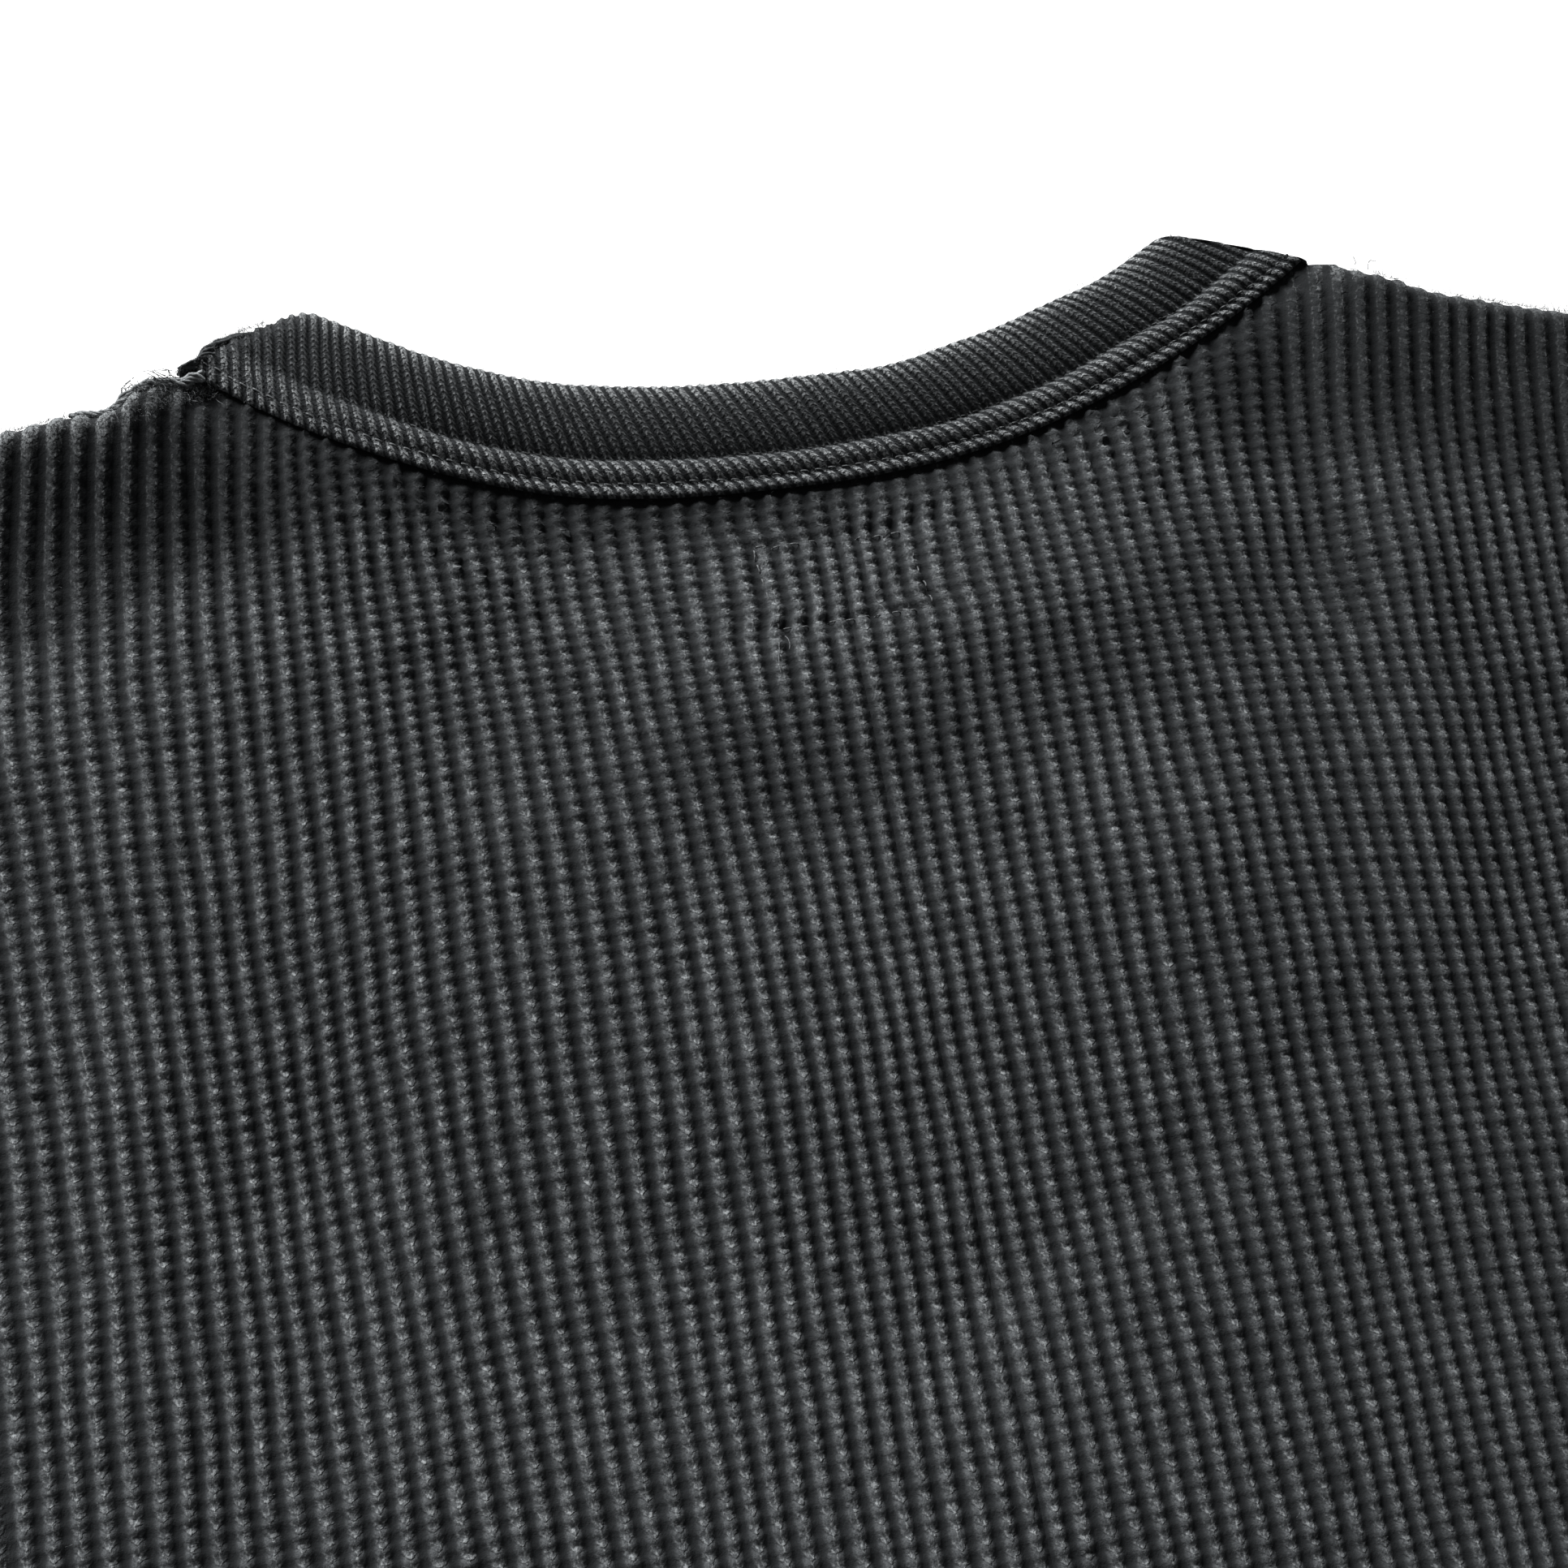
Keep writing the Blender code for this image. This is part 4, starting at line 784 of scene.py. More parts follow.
# %% Back panel
def back_half(side):
    """One side of the back panel, from the join in the middle to its side edge."""
    fine_u, outer_u, all_u = back_columns(side)
    fine_v = np.array([b + o for b in range(TOP_ROW, FINE_ROWS) for o in FINE_ALONG])
    mid_v = np.arange(FINE_ROWS, MID_ROWS + 0.5)
    main_v = np.concatenate((fine_v, mid_v))[::-1]
    strip_v = np.arange(TOP_ROW, MID_ROWS + 0.5)[::-1]
    lower_y = np.linspace(BODY_LENGTH, MID_ROWS * BEAD_PITCH + LOWER_STEP, LOWER_ROWS)
    lower_v = lower_y / BEAD_PITCH

    blocks, offset = [], 0
    for u, v in ((fine_u, main_v), (outer_u, strip_v), (all_u, lower_v)):
        full = smooth((FINE_ROWS - v) / DETAIL_FADES) if u is fine_u else np.zeros(len(v))
        points, knit, values, index = back_points(u, v, full[None, :])
        blocks.append((points, knit, values, index + offset))
        offset += points.shape[0] * points.shape[1]
    main, strip, lower = (block[3] for block in blocks)
    place = np.concatenate([block[0].reshape(-1, 3) for block in blocks])
    faces = grid_faces(main) + grid_faces(strip) + grid_faces(lower)

    inner_edge, near = (main[0], strip[-1]) if side < 0 else (main[-1], strip[0])
    border, beside = column_of(inner_edge), column_of(near)
    faces += zip_edges(border, place[border, 1], beside, place[beside, 1])
    upper = np.concatenate((strip[:, 0], main[:, 0])[::-side])
    faces += zip_edges(upper, place[upper, 0], lower[:, -1], place[lower[:, -1], 0])

    inside = back_inside_points(side)
    low = np.arange(inside[..., 0].size).reshape(inside.shape[:2]) + offset
    faces += grid_faces(low)
    place = np.concatenate((place, inside.reshape(-1, 3)))

    ends = (strip[:, -1], main[:, -1])
    top_edge = np.concatenate(ends[::-side])
    middle, outer = (-1, 0) if side < 0 else (0, -1)
    rims = (
        (top_edge[::side], low[::side, -1], (side, -1)),
        (lower[::side, 0], low[::side, 0], (side, 0)),
        (np.concatenate((lower[middle], main[middle])), low[middle], (0, 1)),
        (np.concatenate((lower[outer], strip[outer])), low[outer], (0, 1)),
    )
    for outside, within, way in rims:
        outside, within = column_of(outside), column_of(within)
        at, within_at = (place[ids, :2] @ way for ids in (outside, within))
        faces += zip_edges(outside, at, within, within_at)
    knit = np.concatenate(
        [block[1].reshape(-1, 2) for block in blocks]
        + [(inside[..., :2] / (WAFFLE_PITCH, -BEAD_PITCH)).reshape(-1, 2)]
    )
    values = {
        key: np.concatenate([block[2][key].ravel() for block in blocks] + [np.zeros(low.size)])
        for key in ("detail", "wear", "lot", "pulled", "painted_shade")
    }
    name = "back_left_half" if side < 0 else "back_right_half"
    return make_piece(name, place, faces, knit, values)


BACK_HALVES = {side: back_half(side) for side in (-1, 1)}

# %% [markdown]
# ## The front panel
#
# The front lies under the back, flat on the table, and only its edges and its neck show. It is a
# closed wall between two faces with the same columns, and it rises a little where it goes into
# its half of the collar. A face that lies on a table is pressed flat, so it has no ribs.

# %% Front panel
FRONT_LEVEL, FRONT_RAMP, FRONT_INSET, FRONT_TUCK = 0.004, 0.010, 0.0036, 0.0006
BESIDE_NECK = np.array((0.0015, 0.006, 0.012))  # columns close to the neck, and then evenly
EVEN_FROM, EVEN_STEP = 0.112, 0.008
FRONT_DEPTHS = np.append(np.arange(0.400, 0.050, -0.025), (0.045, 0.030, 0.018, 0.010, 0.005, 0.0))


def front_underside(x, y):
    """Height of the front panel's lower face: on the table, and up inside its half of the collar."""
    gap = np.full(x.shape, np.inf)
    for px, py in FRONT_SEAM[::4]:
        gap = np.minimum(gap, np.hypot(x - px, y - py))
    foot_x, foot_y = FRONT_SEAM[:, 0].max(), FRONT_SEAM[:, 1].max()
    ring = np.hypot(x / foot_x, np.clip(foot_y - y, 0.0, None) / (FRONT_NECK_DROP + foot_y))
    rise = np.where(ring < 1.0, 1.0, smooth(1.0 - (gap - FRONT_LEVEL) / FRONT_RAMP))
    return rise * (FRONT_NECK_MIDDLE - WALL / 2)


def front_panel():
    """A plain closed wall under the back."""
    neck = plan_of_seam(1, PANEL_IN_SLOT, False)[:, 0].max()
    armhole = SHOULDER_HALF_WIDTH + ARMHOLE_WIDTH * np.linspace(0.2, 0.97, 12) ** ARMHOLE_POWER
    half = (
        neck * np.sin(np.linspace(0.0, math.pi / 2, 24)),
        FRONT_SEAM[:, 0].max() + BESIDE_NECK,
        np.arange(EVEN_FROM, SHOULDER_HALF_WIDTH - FRONT_TUCK, EVEN_STEP),
        armhole - FRONT_TUCK,
        (CHEST_HALF_WIDTH - FRONT_INSET,),
    )
    half = np.unique(np.concatenate(half).round(6))
    columns = np.unique(np.concatenate((-half, half)))
    outer = np.sign(columns) * (np.abs(columns) + FRONT_TUCK)
    upper = np.minimum(upper_edge(columns, False), upper_edge(outer, False))
    hem = np.full((len(columns), 1), -BODY_LENGTH)
    y = np.concatenate((hem, upper[:, None] - FRONT_DEPTHS), axis=1)
    x = np.broadcast_to(columns[:, None], y.shape)
    under = front_underside(x, y)
    faces_at = [np.stack((x, y, under + lift), axis=-1).reshape(-1, 3) for lift in (WALL, 0.0)]
    top = np.arange(x.size).reshape(x.shape)
    low = top + x.size
    faces = grid_faces(top) + grid_faces(low[::-1])
    rim = np.concatenate((top[:, 0], top[-1, 1:], top[::-1, -1][1:], top[0, ::-1][1:]))
    faces += [(a, b, b + x.size, a + x.size) for a, b in zip(rim, rim[1:])]
    points = np.concatenate(faces_at)
    return make_piece("front_panel", points, faces, points[:, :2] / (WAFFLE_PITCH, -BEAD_PITCH))


FRONT = front_panel()

# %% [markdown]
# ## Sleeves and cuffs
#
# A sleeve laid flat is a pressed tube: two layers with a soft turn along both edges. It could be
# two panels with their edges joined, but a tube made as one closed wall stays open at both ends
# and has no edge to mend. Its columns run along it, as the ribs of the knit do, and the same
# function makes the rib cuffs, which are doubled and so have a thicker wall.

# %% Pattern of the sleeves
SLEEVE_AXES = (
    np.array((math.cos(SLEEVE_SLOPE), -math.sin(SLEEVE_SLOPE))),
    np.array((-math.sin(SLEEVE_SLOPE), -math.cos(SLEEVE_SLOPE))),
)
SLEEVE_FOLDS = (
    # along0, across0, along1, across1, width, height
    (0.060, 0.020, 0.200, 0.080, 0.020, 0.0022),
    (0.130, 0.120, 0.300, 0.070, 0.018, 0.0026),
    (0.250, 0.030, 0.360, 0.090, 0.016, 0.0022),
    (0.330, 0.095, 0.450, 0.020, 0.016, 0.0024),
    (0.440, 0.080, 0.540, 0.040, 0.014, 0.0018),
)
SLEEVE_CREASES = (
    (0.030, 0.060, 0.150, 0.130, 0.009, 0.0014),
    (0.090, 0.012, 0.240, 0.040, 0.010, 0.0012),
    (0.210, 0.110, 0.330, 0.050, 0.008, 0.0013),
    (0.300, 0.020, 0.420, 0.070, 0.008, 0.0010),
    (0.400, 0.090, 0.520, 0.060, 0.008, 0.0012),
    (0.500, 0.030, 0.560, 0.070, 0.007, 0.0008),
)
TAPER_POWER = 1.15


def armhole_in_sleeve():
    """The armhole as (across, along) in the sleeve's own axes, moved off the body by the gap."""
    share = np.linspace(0.0, 1.0, 120)
    plan = np.stack((ARMHOLE_WIDTH * share**ARMHOLE_POWER, -ARMHOLE_DEPTH * share), axis=1)
    tangent = unit(np.gradient(plan, axis=0))
    plan = plan + SEAM_GAP * np.stack((-tangent[:, 1], tangent[:, 0]), axis=1)
    return plan @ SLEEVE_AXES[1], plan @ SLEEVE_AXES[0]


ARMHOLE_ACROSS, ARMHOLE_ALONG = armhole_in_sleeve()
SLEEVE_WIDTH, UNDERARM = float(ARMHOLE_ACROSS[-1]), float(ARMHOLE_ALONG[-1])
print(f"a sleeve is {SLEEVE_WIDTH:.3f} wide at the armhole, {SLEEVE_END_WIDTH:.3f} at the cuff")


def sleeve_width(along):
    taper = np.clip((SLEEVE_LENGTH - along) / (SLEEVE_LENGTH - UNDERARM), 0.0, 1.0)
    return between(SLEEVE_END_WIDTH, SLEEVE_WIDTH, taper**TAPER_POWER)


def cuff_width(along):
    share = np.clip((along - SLEEVE_LENGTH) / CUFF_LENGTH, 0.0, 1.0)
    return between(CUFF_WIDTH, CUFF_END_WIDTH, share)

# %% Pressed tubes
TUBE_EDGE, TUBE_EDGE_STEP, TUBE_TOP_ROUND = 0.003, 0.0012, 1.4
TUBE_COLUMNS = np.array((-0.5, -0.28, 0.0, 0.28))  # places of the columns in one rib
TUBE_RIB_FOOT, TUBE_RIB_SIDE, TUBE_RIB_SUNK = 0.44, 0.26, 0.4
TUBE_SWAY, TUBE_SWAY_WAVE, TUBE_SWAY_FREE = 0.0005, 0.07, 0.01


def pressed_tube(name, side, width, start, end, rows, wall, ribs, rib_rise, lift, pinch, stitch):
    """A flattened tube: ribbed above, plain below and inside, in the sleeve's axes."""
    radius = wall + LAYER_GAP / 2
    fine = (np.arange(ribs)[:, None] + 0.5 + TUBE_COLUMNS).ravel() / ribs
    fine = np.append(fine, 1.0)
    plain = np.linspace(0.0, 1.0, 15)

    def spread_over(shares, edge):
        full = width(start(shares))
        place = (edge + (full - 2 * edge) * shares) / full
        along = start(place)[:, None] + (end(place) - start(place))[:, None] * rows
        return along, edge + (width(along) - 2 * edge) * shares[:, None]

    def lobe(along, across, inset, turn):
        return quarter_round(np.minimum(across, width(along) - across) - inset, turn)

    along, across = spread_over(fine, 0.0)
    off = np.abs(fine * ribs - 0.5 - np.round(fine * ribs - 0.5))[:, None]
    rib = rib_rise * smooth((TUBE_RIB_FOOT - off) / TUBE_RIB_SIDE)
    swing = TUBE_SWAY * waves(along, across, 21, TUBE_SWAY_WAVE) * smooth(across / TUBE_SWAY_FREE)
    across = across + swing * smooth((width(along) - across) / TUBE_SWAY_FREE)
    round_top = lobe(along, across, 0.0, radius * TUBE_TOP_ROUND)
    crest = 2 * wall + LAYER_GAP - rib_rise * TUBE_RIB_SUNK + rib
    crest = crest + lift(along, across) - pinch(along)
    upper = np.stack((along, across, between(radius, crest, round_top)), axis=-1)
    wear = 1.0 - np.broadcast_to(round_top, along.shape)

    first, middle, last = plain[:1], plain[1:-1], plain[-1:]
    runs = [spread_over(first, edge) for edge in (TUBE_EDGE_STEP, TUBE_EDGE)]
    runs += [spread_over(middle, 0.0)]
    runs += [spread_over(last, edge) for edge in (TUBE_EDGE, TUBE_EDGE_STEP)]
    along, across = (np.concatenate([run[k] for run in runs]) for k in (0, 1))
    under = between(radius, 0.0, lobe(along, across, 0.0, TUBE_EDGE)) + pinch(along)
    under = np.stack((along, across, under), axis=-1)

    along, across = spread_over(plain, wall)
    turn = lobe(along, across, wall, TUBE_EDGE)
    ceiling = between(radius, wall + LAYER_GAP + np.maximum(lift(along, across), 0.0), turn)
    roof = np.stack((along, across, ceiling), axis=-1)
    base = np.stack((along, across, between(radius, wall, turn)), axis=-1)[1:-1]

    blocks, count = (upper, under, roof, base), len(rows)
    starts = np.cumsum([0] + [b.shape[0] * count for b in blocks])
    up, un, ro, ba = (
        np.arange(b.shape[0] * count).reshape(-1, count) + s for b, s in zip(blocks, starts)
    )
    under_loop = np.concatenate((up[:1], un, up[-1:]))
    base_loop = np.concatenate((ro[:1], ba, ro[-1:]))
    near_edge = np.array((0.0, 0.01, 0.02))
    under_at = np.concatenate((near_edge, middle, 1.0 - near_edge[::-1]))
    faces = grid_faces(up) + grid_faces(under_loop[::-1])
    faces += grid_faces(ro[::-1]) + grid_faces(base_loop)
    for j in (0, -1):
        faces += zip_edges(up[:, j], fine, ro[:, j], plain)
        faces += zip_edges(under_loop[:, j], under_at, base_loop[:, j], plain)
    points = np.concatenate([b.reshape(-1, 3) for b in blocks])
    ribs_over = np.repeat(fine * ribs - 0.5, count)
    rest = points[len(ribs_over) :, 1] / (SLEEVE_WIDTH / ribs)
    knit = np.stack((np.concatenate((ribs_over, rest)), points[:, 0] / stitch), axis=1)
    plan = SHOULDER_POINT + points[:, :1] * SLEEVE_AXES[0] + points[:, 1:2] * SLEEVE_AXES[1]
    placed = np.column_stack((plan * (side, 1.0), points[:, 2]))
    worn = np.concatenate((wear.ravel(), np.zeros(len(points) - wear.size)))
    return make_piece(name, placed, faces, knit, {"wear": worn})

# %% Sleeves
SIDE_NAMES = {-1: "left", 1: "right"}
SLEEVE_RIPPLE, SLEEVE_RIPPLE_WAVE, SLEEVE_RIB_RISE = 0.0003, 0.05, 0.0010


def sleeve_lift(along, across):
    creases = fold_height(SLEEVE_FOLDS, along, across) + fold_height(SLEEVE_CREASES, along, across)
    return creases + SLEEVE_RIPPLE * waves(along, across, 22, SLEEVE_RIPPLE_WAVE)


def sleeve_start(share):
    return np.interp(share * SLEEVE_WIDTH, ARMHOLE_ACROSS, ARMHOLE_ALONG)


SLEEVES = {
    side: pressed_tube(
        f"sleeve_{word}_cloth",
        side,
        width=sleeve_width,
        start=sleeve_start,
        end=lambda share: np.full(share.shape, SLEEVE_LENGTH - SEAM_GAP),
        rows=np.linspace(0.0, 1.0, 56),
        wall=WALL,
        ribs=round(SLEEVE_WIDTH / WAFFLE_PITCH),
        rib_rise=SLEEVE_RIB_RISE,
        lift=sleeve_lift,
        pinch=lambda along: np.zeros(along.shape),
        stitch=BEAD_PITCH,
    )
    for side, word in SIDE_NAMES.items()
}

# %% Cuffs
TRIM_STITCH = 0.00095  # length of one knit stitch of the trim
CUFF_RIB_RISE, CUFF_RIPPLE, CUFF_RIPPLE_WAVE, CUFF_PINCH = 0.0005, 0.0004, 0.04, 0.4


def cuff_pinch(along):
    """The folded edge at the wrist is rounded off above and below."""
    near = (SLEEVE_LENGTH + CUFF_LENGTH - along) / CUFF_WALL
    return CUFF_WALL * CUFF_PINCH * (1.0 - quarter_round(near, 1.0))


CUFFS = {
    side: pressed_tube(
        f"cuff_{word}_rib",
        side,
        width=cuff_width,
        start=lambda share: np.full(share.shape, SLEEVE_LENGTH),
        end=lambda share: np.full(share.shape, SLEEVE_LENGTH + CUFF_LENGTH),
        rows=np.concatenate((np.linspace(0.0, 0.94, 12), (0.965, 0.98, 0.99, 1.0))),
        wall=CUFF_WALL,
        ribs=round(CUFF_WIDTH / TRIM_PITCH),
        rib_rise=CUFF_RIB_RISE,
        lift=lambda along, across: CUFF_RIPPLE * waves(along, across, 23, CUFF_RIPPLE_WAVE),
        pinch=cuff_pinch,
        stitch=TRIM_STITCH,
    )
    for side, word in SIDE_NAMES.items()
}

# %% [markdown]
# ## The collar
#
# A strip of 1x1 rib binds the neck. It is folded over the raw edge and sewn down by two needles
# at once. One row of stitches sinks into a crease and parts the plain band above from a raised
# strip, which has the edge of the panels inside it. The other row lies close to the lower edge,
# where the knit stands out in a line of small beads.
#
# The section of the strip is a short table, and each row of it becomes one line around the neck.
# The columns between those lines lean, because a bias-laid rib does, and they stand closer
# together at the grooves than on the crests, so that few points make a clean rib.

# %% Section of the collar
COLLAR_SECTION = (
    # up, out, rib: from the turned-in lower edge, up the outside, over the fold, down the inside
    (0.0006, 0.0012, 0.0),
    (0.0001, 0.0016, 0.3),
    (0.0002, 0.0020, 0.9),
    (0.0007, 0.0023, 1.0),
    (0.0013, 0.0023, 1.0),
    (0.0018, 0.0022, 0.8),
    (0.0022, 0.0018, 0.4),  # lower stitching
    (0.0026, 0.0018, 0.4),
    (0.0030, 0.0022, 0.45),
    (0.0036, 0.0026, 0.5),
    (0.0044, 0.0029, 0.5),
    (0.0052, 0.0029, 0.5),
    (0.0060, 0.0026, 0.5),
    (0.0065, 0.0020, 0.5),
    (0.0068, 0.0013, 0.5),  # upper stitching
    (0.0072, 0.0010, 0.5),
    (0.0076, 0.0011, 0.8),
    (0.0082, 0.0013, 1.0),
    (0.0092, 0.0016, 1.0),
    (0.0106, 0.0019, 1.0),
    (0.0120, 0.0021, 1.0),
    (0.0134, 0.0022, 1.0),
    (0.0148, 0.0022, 1.0),
    (0.0161, 0.0021, 1.0),
    (0.0172, 0.0019, 1.0),
    (0.0181, 0.0015, 1.0),
    (0.0188, 0.0010, 1.0),
    (0.0193, 0.0005, 1.0),
    (0.0195, 0.0000, 0.9),
    (0.0194, -0.0006, 0.8),
    (0.0189, -0.0011, 0.6),
    (0.0175, -0.0014, 0.4),
    (0.0135, -0.0016, 0.3),
    (0.0095, -0.0017, 0.2),
    (0.0069, -0.0021, 0.1),
    (0.0035, -0.0023, 0.0),
    (0.0002, -0.0023, 0.0),
    (0.0002, -0.0012, 0.0),  # slot that holds the panels' edge
    (0.0060, -0.0012, 0.0),
    (0.0060, 0.0012, 0.0),
)
print(f"{len(COLLAR_SECTION)} lines run round the ring")

# %% What is uneven, leaning, worn and painted with shade and highlight along the collar
TRIM_RISE = 0.00046
BAND_SHADE = 0.30  # painted shade: the plain band, which turns away from the light, is darkened more than the strip and the fold
BAND_FROM, BAND_OVER, BAND_TO, BAND_FADES = 0.0066, 0.0012, 0.0180, 0.0040
# painted shade: the left end of the collar is darkened
LEFT_SHADE, LEFT_FROM, LEFT_OVER, LEFT_TO, LEFT_FADES = 0.50, -0.040, 0.040, -0.105, 0.01
WEAR_AND_LIGHT_LINES = (
    # up, width, strength: the fold, the lower edge and the crest of the strip, lightened partly as wear
    # and partly as painted highlight
    (0.0192, 0.0022, 1.0),
    (0.0012, 0.0008, 0.55),
    (0.0046, 0.0014, 0.5),
)
LINES_OUT_FROM = -0.0020  # the inside of the ring past this isn't lightened; the inside next to the fold is, as painted light on a sliver in shade
BAND_LIFT = 0.0026  # the fold stands this much higher at the middle of the back
BAND_LEAN, STRIP_LEAN, STRIP_TOP = 0.58, 0.66, 0.0070
LEAN_FADE, SEEN_PAST = 0.060, 0.018
BAND_LIFT_OVER, BAND_LIFT_POWER = 0.0125, 0.8
RIB_FOOT_TRIM, RIB_SIDE_TRIM = 0.39, 0.23
FLAT_FROM, FLAT_OVER, FLAT_SHARE = {-1: 0.046, 1: 0.013}, {-1: 0.034, 1: 0.013}, {-1: 1.0, 1: 0.85}
FLAT_UP, FLAT_OUT = (0.0, 0.0012, 0.0040, 0.0120, 0.0165), (0.0014, 0.0021, 0.0024, 0.0023, 0.0020)
OUTSIDE_FROM = 0.0008  # the outside of the section stands out more than this
RIM_COLUMNS = (-0.5, -0.36, -0.18, 0.0, 0.18, 0.36)
HIDDEN_COLUMNS = (-0.5, -0.2, 0.2)
WANDER, FINE_WANDER = (0.00016, 31, 0.015), (0.00012, 32, 0.006)  # share or height, seed, length
RIB_UNEVEN, SAG, BULGE = (0.12, 33, 0.007), (0.00025, 34, 0.045), (0.00012, 35, 0.012)
FOLD_UP = 0.019
FOLD_WANDERS = (
    # along the neck from the middle of the back, width, height of places where the fold wanders
    (0.028, 0.016, -0.0009),
    (0.096, 0.020, -0.0003),
)

# %% How the collar's ribs lean and where they lie flat
def trim_profile(off):
    """Height share of a rib of the trim, off its middle by a share of its width."""
    return smooth((RIB_FOOT_TRIM - np.abs(off)) / RIB_SIDE_TRIM)


def lean_at(stations, up):
    """How far along the neck a rib has leant by the time it is this far up."""
    window = smooth((stations - TURNS[0]) / LEAN_FADE + 1.0)
    window = window * smooth((TURNS[1] - stations) / LEAN_FADE + 1.0)
    strip = STRIP_LEAN * np.minimum(up, STRIP_TOP)
    return window * (strip + BAND_LEAN * np.maximum(up - STRIP_TOP, 0.0))


def flat_share(stations):
    """0 where the sewn strip stands proud, more at the shoulders, where the fold pulls it flat."""
    left = FLAT_SHARE[-1] * smooth((stations - TURNS[1] + FLAT_FROM[-1]) / FLAT_OVER[-1])
    right = FLAT_SHARE[1] * smooth((TURNS[0] + FLAT_FROM[1] - stations) / FLAT_OVER[1])
    return np.maximum(left, right)


def pulled_flat(stations, up, out):
    """The outside of the collar's section after the fold has pulled it flat."""
    outside = (out > OUTSIDE_FROM) & (up < FLAT_UP[-1])
    plain = np.interp(up, FLAT_UP, FLAT_OUT)
    return np.where(outside, between(out, plain, flat_share(stations)), out)


def collar_lift(stations, up):
    """The fold stands higher than the strip at the middle of the back."""
    middle = smooth((stations - TURNS[0]) / LEAN_FADE) * smooth((TURNS[1] - stations) / LEAN_FADE)
    share = np.clip((up - STRIP_TOP) / BAND_LIFT_OVER, 0.0, 1.0)
    return BAND_LIFT * middle * share**BAND_LIFT_POWER

# %% Collar
def wavy(measure, x, y):
    """Waves by their height, seed and length."""
    height, seed, length = measure
    return height * waves(x, y, seed, length)


def collar_ring():
    """The whole ring as one closed skin: the section swept along every column of the ribs."""
    ribs = round(RING_LENGTH / TRIM_PITCH)
    pitch = RING_LENGTH / ribs
    seen = [TURNS[0] - SEEN_PAST < k * pitch < TURNS[1] + SEEN_PAST for k in range(ribs)]
    number = np.array(
        [k + o for k in range(ribs) for o in (RIM_COLUMNS if seen[k] else HIDDEN_COLUMNS)]
    )
    off = number - np.floor(number + 0.5)
    section = np.array(COLLAR_SECTION)
    up, out, share = (section[:, k][:, None] for k in (0, 1, 2))
    stations = (number * pitch)[None, :]
    wander = wavy(WANDER, stations, up * 0) + wavy(FINE_WANDER, stations, up)
    tilt = lean_at(stations, up)
    uneven = 1.0 + wavy(RIB_UNEVEN, stations, up)
    sag = wavy(SAG, stations, up * 0) * smooth(up / STRIP_TOP)
    for place, width, height in FOLD_WANDERS:
        sag = sag + height * smooth(up / FOLD_UP) * bell(RIGHT_LENGTH - stations - place, width)
    lifted = collar_lift(stations, up)
    rise = TRIM_RISE * share * uneven * trim_profile(off)[None, :]
    turned = np.where(share > 0, wander, 0.0) + tilt
    bulge = wavy(BULGE, stations, up) * share
    out_there = pulled_flat(stations, up, out)
    points = ring_points(stations + turned, up + sag, out_there + rise + bulge + lifted)
    index = np.arange(points[..., 0].size).reshape(len(section), -1)
    index = np.concatenate((index, index[:1]))
    faces = grid_faces(np.column_stack((index, index[:, :1])))
    knit = np.stack(np.broadcast_arrays(number[None, :], up / TRIM_STITCH), axis=-1)
    # wear and painted highlight along the fold, the lower edge and the crest of the strip
    worn = sum(strength * bell(up - place, width) for place, width, strength in WEAR_AND_LIGHT_LINES)
    worn = np.broadcast_to(np.where(out > LINES_OUT_FROM, worn, 0.0), points.shape[:2])
    x = points[..., 0]
    # painted shade on the collar: its plain band and its left end are darkened
    left = LEFT_SHADE * smooth((LEFT_FROM - x) / LEFT_OVER) * smooth((x - LEFT_TO) / LEFT_FADES)
    band = BAND_SHADE * smooth((up - BAND_FROM) / BAND_OVER) * smooth((BAND_TO - up) / BAND_FADES)
    values = {"wear": worn.ravel(), "painted_shade": (band + left).ravel()}
    return make_piece("collar_rib", points.reshape(-1, 3), faces, knit.reshape(-1, 2), values)


COLLAR = collar_ring()

# %% [markdown]
# ## Sewing
#
# A stitch is a short length of thread that comes up out of the cloth and goes back into it. A
# curve with a bevel would do for one, but a seam has hundreds. So one function turns many short
# paths into one mesh of thin tubes, whose ends dip under the surface, and each seam only says
# where its stitches start and how they run.

# %% Threads from paths
FIBRE_CLEARANCE = 0.00003  # threads stay this far above the ground


